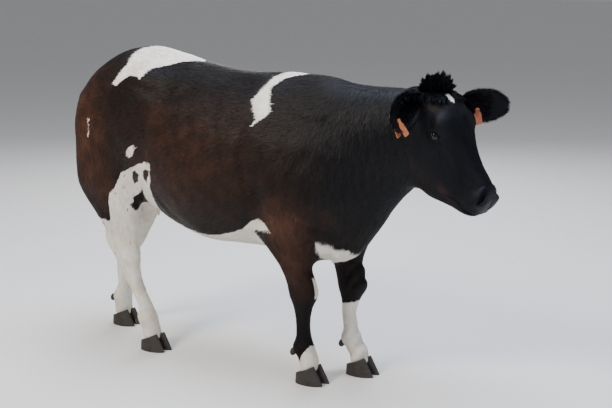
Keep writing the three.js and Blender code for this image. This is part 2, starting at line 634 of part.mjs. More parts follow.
const tailRadius = (v) => THREE.MathUtils.lerp(TAIL_ROOT, TAIL_END, Math.min(v / 0.35, 1) ** 0.6);
const switchRadius = (grow) => (v) => grow + SWITCH_RADIUS * Math.sin(Math.PI * Math.min(0.12 + v, 1)) ** 0.8;
const tailSwitch = (grow) => tubeSolid(SWITCH_PATH, switchRadius(grow), 8, 7);
const tail = tubeSolid(TAIL_PATH, tailRadius, 7, 14).subtract(fleshGrown).subtract(tailSwitch(GAP));
add('tail', tail, COAT_BLACK);
add('tail_switch', tailSwitch(0), COAT_BLACK);

export default cow;
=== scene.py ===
"""A young black-and-white polled cow, life size, standing: skin, coat, eyes, feet, tags and a plain studio.

Lengths in the tables are millimetres from the middle of the feet: x forward, y to the cow's left, z up.
"""

import math

import bpy
import numpy as np
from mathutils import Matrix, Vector


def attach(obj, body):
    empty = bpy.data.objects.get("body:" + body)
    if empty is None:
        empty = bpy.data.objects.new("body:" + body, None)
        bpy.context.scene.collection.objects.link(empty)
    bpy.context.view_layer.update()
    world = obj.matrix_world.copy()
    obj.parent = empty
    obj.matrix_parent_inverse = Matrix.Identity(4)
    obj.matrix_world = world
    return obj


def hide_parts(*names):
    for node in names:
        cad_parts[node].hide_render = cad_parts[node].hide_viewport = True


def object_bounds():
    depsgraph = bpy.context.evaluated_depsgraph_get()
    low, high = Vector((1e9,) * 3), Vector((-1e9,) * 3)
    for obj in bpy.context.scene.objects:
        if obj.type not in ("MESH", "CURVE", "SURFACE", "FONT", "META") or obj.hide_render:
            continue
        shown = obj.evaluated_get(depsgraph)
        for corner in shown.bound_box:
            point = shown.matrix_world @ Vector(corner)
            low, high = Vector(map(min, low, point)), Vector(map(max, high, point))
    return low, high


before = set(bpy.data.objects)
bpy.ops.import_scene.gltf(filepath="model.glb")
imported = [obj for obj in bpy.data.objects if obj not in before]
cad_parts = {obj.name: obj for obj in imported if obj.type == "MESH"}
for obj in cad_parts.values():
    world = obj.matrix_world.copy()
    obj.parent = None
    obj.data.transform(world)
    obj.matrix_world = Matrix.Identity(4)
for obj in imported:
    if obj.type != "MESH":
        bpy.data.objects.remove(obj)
CAD_BOX = [list(corner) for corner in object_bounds()]

bl_info = {
    "name": "Standing cow",
    "version": (1, 0, 0),
    "blender": (4, 5, 0),
    "location": "3D View > Sidebar > Cow",
    "description": "Builds the skin, coat, eyes, feet and tags of a life-size standing cow",
    "category": "Object",
}

MM = 0.001
MIDDLE = 173.0  # the stations' x = 0 lies this far ahead of the frame's origin, in mm

# ------------------------------------------------------------------ the body's stations
# Trunk and neck: x, top, bottom, half width, widest level, upper and lower roundness
TRUNK = [
    (-782, 1010, 850, 60, 940, 2.0, 2.0), (-750, 1090, 790, 130, 975, 2.1, 2.0),
    (-690, 1163, 750, 190, 1000, 2.2, 2.0), (-600, 1228, 700, 236, 1045, 2.3, 2.0),
    (-470, 1286, 638, 252, 1055, 2.4, 2.0), (-340, 1270, 580, 265, 980, 2.4, 2.0),
    (-200, 1240, 535, 292, 880, 2.3, 2.1), (-40, 1215, 502, 312, 820, 2.2, 2.2),
    (120, 1205, 505, 306, 820, 2.1, 2.2), (260, 1212, 505, 280, 830, 2.0, 2.2),
    (380, 1210, 486, 250, 820, 1.8, 2.1), (480, 1206, 478, 222, 800, 1.7, 2.0),
    (580, 1184, 490, 190, 800, 1.8, 1.9), (660, 1178, 575, 164, 850, 1.9, 1.9),
    (740, 1178, 684, 140, 920, 2.0, 2.0), (830, 1174, 778, 122, 975, 2.0, 2.0),
    (905, 1168, 842, 104, 1010, 2.0, 2.0),
]
# Head: distance down the face, forehead, jaw, half width, widest level, upper and lower roundness
HEAD = [
    (-25, -40, -160, 60, -90, 2.0, 2.0), (0, -8, -205, 76, -80, 2.2, 2.0),
    (50, 14, -250, 92, -70, 2.5, 2.2), (115, 20, -296, 106, -64, 2.6, 2.5),
    (170, 8, -302, 101, -70, 2.4, 2.6), (235, -6, -286, 80, -84, 2.2, 2.5),
    (305, -14, -262, 67, -86, 2.1, 2.4), (365, -14, -212, 62, -80, 2.2, 2.2),
    (420, -25, -166, 68, -76, 2.3, 2.3), (458, -49, -136, 57, -80, 2.3, 2.3),
]
# Legs: height, front x, rear x, inner y, outer y, roundness
FORE = [
    (40, 480, 424, 66, 144, 2.2), (65, 489, 418, 62, 148, 2.2), (95, 488, 412, 64, 146, 2.1),
    (135, 470, 385, 60, 150, 2.2), (180, 456, 398, 70, 140, 2.1), (240, 452, 396, 74, 136, 2.1),
    (300, 464, 388, 70, 142, 2.2), (350, 486, 372, 60, 154, 2.4), (400, 482, 356, 60, 158, 2.2),
    (460, 462, 335, 56, 178, 2.1), (520, 475, 305, 50, 205, 2.1), (600, 505, 282, 45, 235, 2.0),
    (680, 560, 285, 45, 255, 2.0), (780, 610, 310, 55, 250, 2.0), (900, 600, 350, 70, 222, 2.0),
    (980, 580, 385, 80, 196, 2.0), (1060, 540, 440, 85, 125, 2.0),
]
HIND = [
    (40, -330, -386, 77, 155, 2.2), (65, -326, -396, 72, 160, 2.2), (95, -334, -408, 74, 158, 2.1),
    (135, -348, -425, 70, 164, 2.2), (180, -368, -424, 80, 152, 2.1), (250, -405, -466, 84, 150, 2.1),
    (330, -428, -525, 84, 156, 2.1), (400, -425, -562, 78, 166, 2.2), (450, -427, -602, 76, 172, 2.1),
    (500, -424, -608, 76, 176, 1.9), (560, -420, -648, 70, 188, 1.9), (630, -410, -700, 60, 212, 1.9),
    (700, -392, -735, 40, 238, 1.9), (780, -385, -738, 25, 252, 1.9), (870, -410, -728, 15, 262, 1.8),
    (960, -450, -715, 10, 260, 1.8), (1060, -490, -675, 10, 235, 1.8),
]
# The left legs stand as the right ones, moved along x by these amounts at these heights
FORE_STEP = [(0, 100), (65, 100), (135, 88), (250, 78), (350, 88), (520, 88), (700, 40), (900, 0)]
HIND_STEP = [(0, -385), (65, -385), (135, -365), (250, -305), (342, -240), (430, -175),
             (500, -135), (560, -105), (700, -50), (800, -20), (900, 0)]

# Swellings and hollows of muscle and bone on both sides: centre, reach, height
SWELLINGS = [
    ((-285, 232, 1172), (75, 60, 62), 16), ((-140, 245, 1145), (95, 75, 50), -17),
    ((-262, 275, 930), (48, 80, 170), -10), ((-480, 262, 930), (190, 90, 200), 16),
    ((-725, 95, 1085), (50, 45, 45), 12), ((405, 245, 850), (110, 90, 190), 16),
    ((300, 285, 760), (45, 90, 150), -13), ((600, 165, 760), (60, 60, 80), 12),
    ((500, 95, 1165), (90, 60, 60), 8), ((760, 118, 860), (120, 60, 45), -8),
]
# The same on the head: down the face, sideways, out from the face line
FACE_SWELLINGS = [((12, 76, -62), (36, 28, 32), 15), ((124, 106, -26), (36, 30, 27), 40),
                  ((146, 112, -72), (30, 26, 26), 4), ((190, 96, -70), (60, 30, 26), 6),
                  ((250, 88, -190), (60, 30, 46), 7), ((428, 52, -44), (30, 26, 26), 8),]

POLL = np.array([985.0, 0.0, 1178.0])
PITCH = math.radians(58)
DOWN = np.array([math.cos(PITCH), 0.0, -math.sin(PITCH)])   # down the face
SIDE = np.array([0.0, 1.0, 0.0])                            # to the cow's left
OUT = np.array([math.sin(PITCH), 0.0, math.cos(PITCH)])     # out of the forehead
HEAD_FROM = 930.0                                           # all that lies ahead of this x is head
NECK_BLEND, LEG_BLEND = 60.0, 70.0
TRUNK_CAP, HEAD_CAP, LEG_CAP = 50.0, 40.0, 14.0

EYE_AT, EYE_RADIUS = (144.0, 98.0, -70.0), 21.0
EAR_LENGTH, EAR_WIDTH, EAR_THICKNESS = 238.0, 120.0, 9.0
EARS = {
    "left": {"root": (38, 82, -66), "along": (0.73, 0.68, -0.03), "open": (0.67, -0.72, -0.19)},
    "right": {"root": (-8, -74, -59), "along": (0.02, -0.94, -0.35), "open": (0.98, -0.05, 0.2)},
}
CLAW = {"behind": 16, "length": 127, "width": 53, "apart": 1.5, "wall": 74, "heel": 40, "lean": 0.56}
DEWCLAW = {"height": 122, "apart": 27, "radius": 13, "length": 34}
UDDER_AT, UDDER_RADII = (-430.0, 0.0, 648.0), (112.0, 84.0, 72.0)
TEAT = {"radius": 7, "length": 22, "spread": (44, 36)}
TAIL_PATH = [(-690, 0, 1118), (-758, 0, 1106), (-796, 4, 1040), (-806, 20, 880), (-802, 58, 710),
             (-806, 124, 560), (-812, 178, 460), (-812, 205, 380)]
SWITCH_PATH = [(-812, 190, 440), (-814, 206, 380), (-812, 214, 320), (-808, 218, 262)]
SWITCH_RADIUS = 34.0


# ------------------------------------------------------------------ curves and blends
def curve(xs, ys):
    """A cubic through the stations, whose tangent at each is that of the parabola through it
    and its neighbours."""
    xs, ys = np.asarray(xs, float), np.asarray(ys, float)
    step = np.diff(xs)
    slope = np.diff(ys) / step
    tangent = np.empty_like(ys)
    tangent[1:-1] = (step[1:] * slope[:-1] + step[:-1] * slope[1:]) / (step[1:] + step[:-1])
    tangent[0] = 1.5 * slope[0] - 0.5 * tangent[1]
    tangent[-1] = 1.5 * slope[-1] - 0.5 * tangent[-2]
    fine = np.linspace(xs[0], xs[-1], 900)
    i = np.clip(np.searchsorted(xs, fine, side="right") - 1, 0, len(xs) - 2)
    t = (fine - xs[i]) / step[i]
    value = ((2 * t**3 - 3 * t**2 + 1) * ys[i] + (t**3 - 2 * t**2 + t) * step[i] * tangent[i]
             + (3 * t**2 - 2 * t**3) * ys[i + 1] + (t**3 - t**2) * step[i] * tangent[i + 1])
    return lambda x: np.interp(x, fine, value)


def stations(rows):
    """Each column of a station table as a curve over its first column."""
    table = np.array(rows, float)
    columns = [curve(table[:, 0], table[:, k]) for k in range(1, table.shape[1])]
    return {"from": table[0, 0], "to": table[-1, 0], "at": lambda s: [c(s) for c in columns]}


def stepped(rows, moves):
    """Stations of a leg moved along x by a table of moves over height."""
    heights, amounts = zip(*moves)
    return [(z, f + np.interp(z, heights, amounts), r + np.interp(z, heights, amounts), *rest)
            for z, f, r, *rest in rows]


def ramp(low, high, x):
    """0 below low, 1 above high, and the cubic 3t^2 - 2t^3 between."""
    t = np.clip((x - low) / (high - low), 0, 1)
    return t * t * (3 - 2 * t)


def soft_max(a, b, blend):
    """The larger of two fields, rounded where they are less than blend apart."""
    h = np.maximum(blend - np.abs(a - b), 0) / blend
    return np.maximum(a, b) + h * h * blend / 4


def soft_min(a, b, blend):
    """The smaller of two fields, rounded where they are less than blend apart."""
    return -soft_max(-a, -b, blend)


def unit(v):
    """Rows of v at length 1."""
    return v / np.maximum(np.linalg.norm(v, axis=-1, keepdims=True), 1e-9)


def waves(p, size, seed, count=7):
    """Smooth noise from about -1 to 1: the mean of sine waves of about the given size in
    seeded directions."""
    rng = np.random.default_rng(seed)
    ways = unit(rng.normal(size=(count, 3))) * rng.uniform(0.7, 1.5, (count, 1)) * 2 * math.pi / size
    return np.sin(p @ ways.T + rng.uniform(0, 2 * math.pi, count)).mean(1) * 1.8


TRUNK_AT, HEAD_AT = stations(TRUNK), stations(HEAD)
LEGS = {
    "fore_right": (stations(FORE), -1), "fore_left": (stations(stepped(FORE, FORE_STEP)), 1),
    "hind_right": (stations(HIND), -1), "hind_left": (stations(stepped(HIND, HIND_STEP)), 1),
}


# ------------------------------------------------------------------ the body as one field
def section(a, b, wide, high, roundness):
    """Distance along the ray from the middle to the superellipse |a/wide|^n + |b/high|^n = 1."""
    g = (np.abs(a / wide) ** roundness + np.abs(b / high) ** roundness) ** (1 / roundness)
    return np.maximum(np.hypot(a, b) * (1 - 1 / np.maximum(g, 1e-6)), -np.minimum(wide, high))


def on_head(p):
    """Distances down the face, sideways and out of the forehead from the poll."""
    q = p - POLL
    return q @ DOWN, q[:, 1], q @ OUT


def from_head(down, side, out):
    """The point that lies so far down the face, to the left and out from the poll."""
    return (POLL + np.multiply.outer(np.asarray(down, float), DOWN)
            + np.multiply.outer(np.asarray(side, float), SIDE)
            + np.multiply.outer(np.asarray(out, float), OUT))


def trunk_field(p):
    """Negative inside the trunk and neck: a superellipse at each station, with rounded ends."""
    top, bottom, wide, level, upper, lower = TRUNK_AT["at"](p[:, 0])
    b = p[:, 2] - level
    high = np.where(b > 0, top - level, level - bottom)
    end = np.maximum(TRUNK_AT["from"] - p[:, 0], p[:, 0] - TRUNK_AT["to"])
    return soft_max(section(p[:, 1], b, wide, high, np.where(b > 0, upper, lower)), end, TRUNK_CAP)


def head_field(p):
    """Negative inside the head: a superellipse at each distance down the face."""
    down, side, out = on_head(p)
    top, bottom, wide, level, upper, lower = HEAD_AT["at"](down)
    b = out - level
    high = np.where(b > 0, top - level, level - bottom)
    end = np.maximum(HEAD_AT["from"] - down, down - HEAD_AT["to"])
    return soft_max(section(side, b, wide, high, np.where(b > 0, upper, lower)), end, HEAD_CAP)


def leg_field(p, leg):
    """Negative inside a leg: a superellipse at each height."""
    loft, hand = LEGS[leg]
    front, rear, inner, outer, roundness = loft["at"](p[:, 2])
    end = np.maximum(loft["from"] - p[:, 2], p[:, 2] - loft["to"])
    a, b = p[:, 0] - (front + rear) / 2, p[:, 1] - hand * (inner + outer) / 2
    return soft_max(section(a, b, (front - rear) / 2, (outer - inner) / 2, roundness), end, LEG_CAP)


def swelling(rows, x, y, z):
    """The sum of rounded swellings height * exp(-(distance / reach)^2), on both sides."""
    total = np.zeros_like(x)
    for at, reach, height in rows:
        flat = ((x - at[0]) / reach[0]) ** 2 + ((z - at[2]) / reach[2]) ** 2
        total += height * np.exp(-flat - ((np.abs(y) - at[1]) / reach[1]) ** 2)
    return total


def ball(p, at, radii):
    """Rough distance to an ellipsoid: (|q| - 1) times its smallest radius, q being the point
    over the radii."""
    q = (p - np.array(at, float)) / np.array(radii, float)
    return (np.linalg.norm(q, axis=1) - 1) * min(radii)


def flesh_field(p):
    """The whole body's outer form, the coat included."""
    d = soft_min(trunk_field(p), head_field(p), NECK_BLEND)
    for leg in LEGS:
        d = soft_min(d, leg_field(p, leg), LEG_BLEND)
    down, side, out = on_head(p)
    d = d - swelling(SWELLINGS, p[:, 0], p[:, 1], p[:, 2]) - swelling(FACE_SWELLINGS, down, side, out)
    return soft_min(d, ball(p, UDDER_AT, UDDER_RADII), 24)


# ------------------------------------------------------------------ folds, lids, nostrils and lips
EYE_OUT = np.array([0.10, 0.95, 0.30]) / np.linalg.norm([0.10, 0.95, 0.30])
EYE_LONG = np.array([0.88, 0.0, 0.46])
EYE_LONG = (EYE_LONG - EYE_OUT * (EYE_LONG @ EYE_OUT))
EYE_LONG = EYE_LONG / np.linalg.norm(EYE_LONG)
EYE_HIGH = np.cross(EYE_LONG, EYE_OUT)
EYE_HIGH = EYE_HIGH * np.sign(EYE_HIGH[2])      # towards the brow


def eye_axes(down, side, out):
    """A point by the nearer eye: along the lids towards the nose, up to the brow, and out of the socket."""
    q = np.stack([down - EYE_AT[0], np.abs(side) - EYE_AT[1], out - EYE_AT[2]], 1)
    return q @ EYE_LONG, q @ EYE_HIGH, q @ EYE_OUT


def eye_distance(p):
    """Distance from the middle of the nearer eyeball."""
    return np.linalg.norm(np.stack(eye_axes(*on_head(p)), 1), axis=1)


def from_face(way, hand):
    """A direction given down, sideways and out of the left side's face as one of the body's;
    hand -1 is the right."""
    return way[0] * DOWN + way[1] * hand * SIDE + way[2] * OUT


LIDS_MIDDLE, LIDS_HALF = 1.0, 19.0      # middle and half length of the opening along the lids
LIDS_UP, LIDS_DOWN, LIDS_SLANT = 10.4, 8.2, 1.2


def lid_edges(along):
    """Heights of the upper and lower lid's edge: up (1 - t^2)^0.7 and -down (1 - t^2)^0.8, less slant * t."""
    t = np.clip((along - LIDS_MIDDLE) / LIDS_HALF, -1, 1)
    return LIDS_UP * (1 - t**2) ** 0.7 - LIDS_SLANT * t, -LIDS_DOWN * (1 - t**2) ** 0.8 - LIDS_SLANT * t


def eye_opening(along, high):
    """Distance, in mm, from the almond between the lids: negative inside it."""
    upper, lower = lid_edges(along)
    return np.maximum(np.maximum(high - upper, lower - high), (np.abs(along - LIDS_MIDDLE) - LIDS_HALF)) * 0.8


def line_distance(a, b, points):
    """Distance in a plane from the points (a, b) to a polyline, and how far along it the
    nearest point is, 0 to 1."""
    points = np.array(points, float)
    best, where = np.full(a.shape, 1e9), np.zeros(a.shape)
    pieces = len(points) - 1
    for k in range(pieces):
        (x0, y0), (x1, y1) = points[k], points[k + 1]
        dx, dy = x1 - x0, y1 - y0
        t = np.clip(((a - x0) * dx + (b - y0) * dy) / (dx * dx + dy * dy), 0, 1)
        d = np.hypot(a - x0 - t * dx, b - y0 - t * dy)
        where = np.where(d < best, (k + t) / pieces, where)
        best = np.minimum(best, d)
    return best, where


MOUTH_LINE = [(330, -178), (368, -154), (412, -133), (450, -114), (500, -100)]
NOSTRIL_LINE = [(399, -24), (412, -33), (424, -47), (429, -60)]


def face_detail(p, d):
    """The field d with the lids, the eye sockets, nostrils, lips and the creases of the face worked in."""
    down, side, out = on_head(p)
    near = (down > 20) & (d < 80) & (p[:, 0] > 900)
    if not near.any():
        return d
    s, y, n = down[near], side[near], out[near]
    f = d[near]
    # creases below the lower lid and forward from the inner corner, and the groove of the cheek
    along, high, outward = eye_axes(s, y, n)
    on_side = ramp(30, 60, np.abs(y))
    for line, depth, width in (
        ([(14, -6), (30, -13), (48, -15)], 6.0, 4.5),
        ([(-26, -8), (-8, -21), (18, -21)], 2.4, 4.0),
        ([(-30, -16), (-6, -31), (24, -32)], 1.4, 5.0),
        ([(-22, 14), (-2, 19), (16, 14)], 2.2, 4.0),
        ([(-24, 22), (0, 28), (24, 22)], 1.4, 5.0),
    ):
        away, where = line_distance(along, high, line)
        f = f + depth * np.exp(-((away / width) ** 2)) * np.sin(np.pi * (0.12 + 0.76 * where)) * on_side
    # lids: a shell over the eyeball, blended into the face, and opened to behind the eyeball's front
    radius = np.sqrt(along**2 + high**2 + outward**2)
    f = soft_min(f, radius - (EYE_RADIUS + 3.2), 12)
    cut = np.maximum(np.maximum(eye_opening(along, high), (EYE_RADIUS - 3.5) - radius), 2 - outward)
    f = soft_max(f, -cut, 2.2)
    # nostril: a pit that runs down and outwards, with a raised wing round it
    away, where = line_distance(s, n, NOSTRIL_LINE)
    outside = ramp(26, 40, np.abs(y))
    width = 3.2 + 3.8 * np.sin(np.pi * np.clip(0.15 + 0.8 * where, 0, 1))
    f = f - 4.0 * np.exp(-(((away - width - 6) / 6.5) ** 2)) * outside
    f = f + 17 * np.exp(-((away / width) ** 3)) * outside
    # furrow between the nostrils, the lips' parting, the upper lip's swell and the chin
    f = f + 3.0 * np.exp(-((y / 5.0) ** 2)) * ramp(425, 448, s) * ramp(-100, -70, n)
    away, where = line_distance(s, n, MOUTH_LINE)
    f = f + 6.5 * np.exp(-((away / 4.0) ** 2)) * ramp(0.0, 0.12, where)
    f = f - 3.5 * np.exp(-(((away - 14) / 10) ** 2)) * ramp(0.15, 0.45, where)
    # cheek: ridge of the face, hollow before the jaw muscle, small pleats towards the mouth corner
    away, _ = line_distance(s, n, [(196, -52), (250, -64), (312, -88)])
    f = f - 5.0 * np.exp(-((away / 13) ** 2)) * on_side
    away, _ = line_distance(s, n, [(208, -112), (262, -132), (300, -158)])
    f = f + 4.8 * np.exp(-((away / 20) ** 2)) * ramp(20, 50, np.abs(y))
    pleats = np.sin((s * 0.55 + n * 0.84) / 2.6 + 1.6 * np.sin(s / 24.0))
    f = f + 0.7 * pleats * np.exp(-(((s - 300) / 46) ** 2) - (((n + 150) / 34) ** 2)) * on_side
    # frontal hollow between the eyes
    f = f + 2.4 * np.exp(-((y / 26) ** 2) - (((s - 150) / 44) ** 2)) * ramp(-60, -30, n)
    result = d.copy()
    result[near] = f
    return result


def folds(p):
    """Height, in mm, of the skin's folds and muscle edges: + swells, - sinks. Each is a soft
    ridge along a line."""
    x, y, z = p.T
    h = np.zeros(len(p))
    flat = ramp(60, 120, np.abs(y))
    for line, height, width in (
        ([(250, 1010), (238, 900), (262, 800), (330, 715)], -7, 22),        # behind the shoulder blade
        ([(300, 1000), (300, 900), (330, 820)], 5, 30),                     # the blade's rear edge
        ([(560, 1040), (520, 930), (470, 850), (445, 760)], -5, 20),        # between shoulder and neck
        ([(640, 960), (590, 850), (560, 760)], 4, 26),
        ([(455, 700), (520, 640), (600, 610)], -8, 14),                     # over the forearm
        ([(500, 600), (560, 560), (640, 580)], -6, 10),                     # brisket fold
        ([(-232, 1010), (-240, 900), (-236, 800), (-224, 720)], -4, 16),    # before the thigh
        ([(-196, 700), (-150, 640), (-80, 600)], -5, 16),                   # flank fold
        ([(-250, 760), (-210, 680), (-170, 620)], 6, 16),
        ([(-560, 1080), (-540, 960), (-520, 840)], -3, 26),                 # between the thigh's muscles
        # hollow before the hip
        ([(-318, 1150), (-262, 1128), (-196, 1104), (-110, 1104), (-30, 1128)], -8, 20),
        ([(-300, 1206), (-220, 1176), (-120, 1158), (-20, 1170)], 5, 20),   # edge of the loin
        ([(-480, 440), (-430, 380), (-412, 250), (-392, 170)], -3, 7),      # between cannon and tendons
    ):
        away, where = line_distance(x, z, line)
        h += height * np.exp(-((away / width) ** 2)) * np.sin(np.pi * (0.1 + 0.8 * where)) * flat
    # wrinkles of the neck, upright and wavering, and gentler ones of the throat and brisket
    neck = ramp(560, 700, x) * (1 - ramp(850, 930, x)) * ramp(700, 820, z) * ramp(30, 80, np.abs(y))
    drift = x + 0.22 * (z - 950) + 10 * np.sin(z / 55.0) + 7 * waves(p, 160, 3)
    h += 2.6 * neck * np.sin(drift * 2 * math.pi / 34) * (0.55 + 0.45 * waves(p, 120, 4))
    brisket = ramp(480, 560, x) * (1 - ramp(700, 780, x)) * (1 - ramp(640, 780, z))
    h += 3.2 * brisket * np.sin((x * 0.8 - z * 0.5 + 9 * waves(p, 140, 5)) * 2 * math.pi / 44)
    # ribs and the slight unevenness of flesh
    ribs = ramp(-150, -60, x) * (1 - ramp(200, 290, x)) * ramp(620, 720, z) * (1 - ramp(1040, 1120, z)) * flat
    h += 0.6 * ribs * np.sin((x + 0.28 * (z - 850) + 14 * waves(p, 200, 7)) * 2 * math.pi / 66)
    h += 1.5 * waves(p, 130, 6) * ramp(380, 520, z) * (1 - ramp(900, 960, x))
    # knees, hocks and tendons of the legs
    for at, reach, height in (((425, 0, 355), (60, 70, 30), 2.5), ((-505, 0, 470), (60, 80, 34), 2.0)):
        h += height * np.exp(-((x - at[0]) / reach[0]) ** 2 - ((z - at[2]) / reach[2]) ** 2)
    return h


def coat_depth(p):
    """How far the skin lies under the coat's outline, in mm: less on the face and feet, least
    on the muzzle."""
    down = on_head(p)[0]
    depth = np.full(len(p), 5.5)
    depth = np.where(p[:, 2] < 520, 2.4 + 3.1 * ramp(330, 520, p[:, 2]), depth)
    on_face = ramp(-20, 60, down) * (p[:, 0] > 880)
    depth = depth * (1 - on_face) + on_face * 2.6
    return depth * (1 - ramp(380, 415, down) * (p[:, 0] > 880)) + 0.8 * ramp(380, 415, down) * (p[:, 0] > 880)


def skin_field(p):
    """The skin: the body's form with its folds and face, drawn in by the coat's depth."""
    return face_detail(p, flesh_field(p) - folds(p) + coat_depth(p))


def towards(field, p, rounds=4, most=14.0):
    """Moves points on to a field's zero by Newton steps along its slope, found by differences of 0.6 mm."""
    e = 0.6
    for _ in range(rounds):
        value = field(p)
        slope = np.stack([(field(p + e * axis) - value) / e for axis in np.eye(3)], 1)
        step = value[:, None] * slope / np.maximum((slope**2).sum(1, keepdims=True), 0.15)
        size = np.linalg.norm(step, axis=1, keepdims=True)
        p = p - step * np.minimum(1, most / np.maximum(size, 1e-9))
    return p


# ------------------------------------------------------------------ grids and meshes
def grid_quads(rows, around):
    """Quads of a grid that closes round its columns, rows rings long."""
    r, c = np.meshgrid(np.arange(rows - 1), np.arange(around), indexing="ij")
    a, b = r * around + c, r * around + (c + 1) % around
    return np.stack([a, b, b + around, a + around], -1).reshape(-1, 4)


def closed_tube(rings):
    """Vertices and faces of rings (rows, around, 3) whose first and last rings are closed by
    fans to their middles."""
    rows, around, _ = rings.shape
    verts = np.concatenate([rings.reshape(-1, 3), rings[:1].mean(1), rings[-1:].mean(1)])
    quads = grid_quads(rows, around)
    c = np.arange(around)
    first = np.stack([(c + 1) % around, c, np.full(around, rows * around)], 1)
    last = np.stack([c, (c + 1) % around, np.full(around, rows * around + 1)], 1)
    last[:, :2] += (rows - 1) * around
    return verts, quads, np.concatenate([first, last])


def outward(verts, quads, tris):
    """The faces turned so that the closed shape's volume is positive."""
    t = np.concatenate([quads[:, [0, 1, 2]], quads[:, [0, 2, 3]], tris])
    a, b, c = verts[t[:, 0]], verts[t[:, 1]], verts[t[:, 2]]
    if (a * np.cross(b, c)).sum() < 0:
        return quads[:, ::-1], tris[:, ::-1]
    return quads, tris


def joined(parts):
    """Closed tubes as one set of vertices, quads and triangles."""
    verts, quads, tris, count = [], [], [], 0
    for rings in parts:
        v, q, t = closed_tube(rings)
        q, t = outward(v, q, t)
        verts.append(v)
        quads.append(q + count)
        tris.append(t + count)
        count += len(v)
    return np.concatenate(verts), np.concatenate(quads), np.concatenate(tris)


def ball_rings(at, radii, rows, around, end):
    """Rings of an ellipsoid from its top down; the angle end from each pole is left for the closing fans."""
    lift = np.linspace(end, math.pi - end, rows)[:, None]
    turn = np.linspace(0, 2 * math.pi, around, endpoint=False)[None, :]
    ball_of_one = np.stack([np.sin(lift) * np.cos(turn), np.sin(lift) * np.sin(turn),
                            np.cos(lift) + 0 * turn], -1)
    return ball_of_one * np.array(radii) + np.array(at)


def vertex_normals(verts, tris):
    """Each vertex's normal: the sum of its triangles' cross products."""
    a, b, c = (verts[tris[:, k]] for k in range(3))
    cross = np.cross(b - a, c - a)
    total = np.stack([np.bincount(tris.ravel(), np.repeat(cross[:, k], 3), len(verts)) for k in range(3)], 1)
    return unit(total)


def tube_surface(rings):
    """Vertices, triangles and vertex normals of a tube, without its ends."""
    verts, quads, _ = joined([rings])
    tris = np.concatenate([quads[:, [0, 1, 2]], quads[:, [0, 2, 3]]])
    return verts, tris, vertex_normals(verts, tris)


def to_frame(p):
    """Station millimetres to the frame's metres."""
    return (p - np.array([MIDDLE, 0, 0])) * MM


def make_mesh(name, verts, groups):
    """A mesh from vertices in metres and arrays of faces, each with its own number of corners."""
    mesh = bpy.data.meshes.new(name)
    mesh.vertices.add(len(verts))
    mesh.vertices.foreach_set("co", np.ascontiguousarray(verts, np.float32).ravel())
    groups = [g for g in groups if len(g)]
    corners = np.concatenate([np.asarray(g).ravel() for g in groups]).astype(np.int32)
    sizes = np.concatenate([np.full(len(g), g.shape[1]) for g in groups])
    starts = np.concatenate([[0], np.cumsum(sizes)[:-1]]).astype(np.int32)
    mesh.loops.add(len(corners))
    mesh.loops.foreach_set("vertex_index", corners)
    mesh.polygons.add(len(sizes))
    mesh.polygons.foreach_set("loop_start", starts)
    mesh.update(calc_edges=True)
    mesh.polygons.foreach_set("use_smooth", np.ones(len(sizes), bool))
    mesh.validate()
    return mesh


def place(name, mesh, material, replaces=()):
    """Puts a mesh in the scene as a piece of the cow, with its finish and what it stands for."""
    piece = bpy.data.objects.new(name, mesh)
    bpy.context.scene.collection.objects.link(piece)
    mesh.materials.append(material)
    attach(piece, "root")
    if replaces:
        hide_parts(*replaces)


def place_rings(name, parts, material, replaces=()):
    """Puts closed tubes in the scene as one piece, and returns its mesh."""
    verts, quads, tris = joined(parts)
    mesh = make_mesh(name, to_frame(verts), [quads, tris])
    place(name, mesh, material, replaces)
    return mesh


def write_attribute(mesh, name, values):
    """A float or a vector for each vertex, which the materials read."""
    kind = "FLOAT" if values.ndim == 1 else "FLOAT_VECTOR"
    layer = mesh.attributes.new(name, kind, "POINT")
    layer.data.foreach_set("value" if values.ndim == 1 else "vector",
                           np.ascontiguousarray(values, np.float32).ravel())


def superellipse(turn, wide, high, roundness):
    """Points (wide * cos^(2/n), high * sin^(2/n)) with their signs, for each turn."""
    c, s = np.cos(turn), np.sin(turn)
    return wide * np.sign(c) * np.abs(c) ** (2 / roundness), high * np.sign(s) * np.abs(s) ** (2 / roundness)


def loft_rings(turn, top, bottom, wide, level, upper, lower):
    """A superellipse section at each station, with its own roundness above and below its widest level."""
    high = np.where(np.sin(turn) > 0, (top - level), (level - bottom))
    return superellipse(turn, wide, high, np.where(np.sin(turn) > 0, upper, lower))


def body_blank():
    """Closed tubes through the trunk's, head's and legs' stations, as the blank that the skin is drawn on."""
    parts = []
    turn = np.linspace(0, 2 * math.pi, 48, endpoint=False)[None, :]
    s = np.linspace(TRUNK_AT["from"] + 6, TRUNK_AT["to"] - 6, 110)[:, None]
    columns = TRUNK_AT["at"](s)
    a, b = loft_rings(turn, *columns)
    ease = 1 - 0.35 * (1 - ramp(0, 40, np.minimum(s - TRUNK_AT["from"], TRUNK_AT["to"] - s)))
    parts.append(np.stack([s + 0 * a, a * ease, columns[3] + b * ease], -1))
    s = np.linspace(HEAD_AT["from"] + 4, HEAD_AT["to"] - 4, 60)[:, None]
    columns = HEAD_AT["at"](s)
    a, b = loft_rings(turn, *columns)
    ease = 1 - 0.35 * (1 - ramp(0, 34, np.minimum(s - HEAD_AT["from"], HEAD_AT["to"] - s)))
    parts.append(from_head(s + 0 * a, a * ease, columns[3] + b * ease))
    for loft, hand in LEGS.values():
        s = np.linspace(loft["from"] + 2, loft["to"] - 2, 90)[:, None]
        front, rear, inner, outer, roundness = loft["at"](s)
        a, b = superellipse(turn, (front - rear) / 2, (outer - inner) / 2, roundness)
        parts.append(np.stack([(front + rear) / 2 + a, hand * (inner + outer) / 2 + b, s + 0 * a], -1))
    parts.append(ball_rings(UDDER_AT, UDDER_RADII, 14, 48, 0.1))
    return joined(parts)


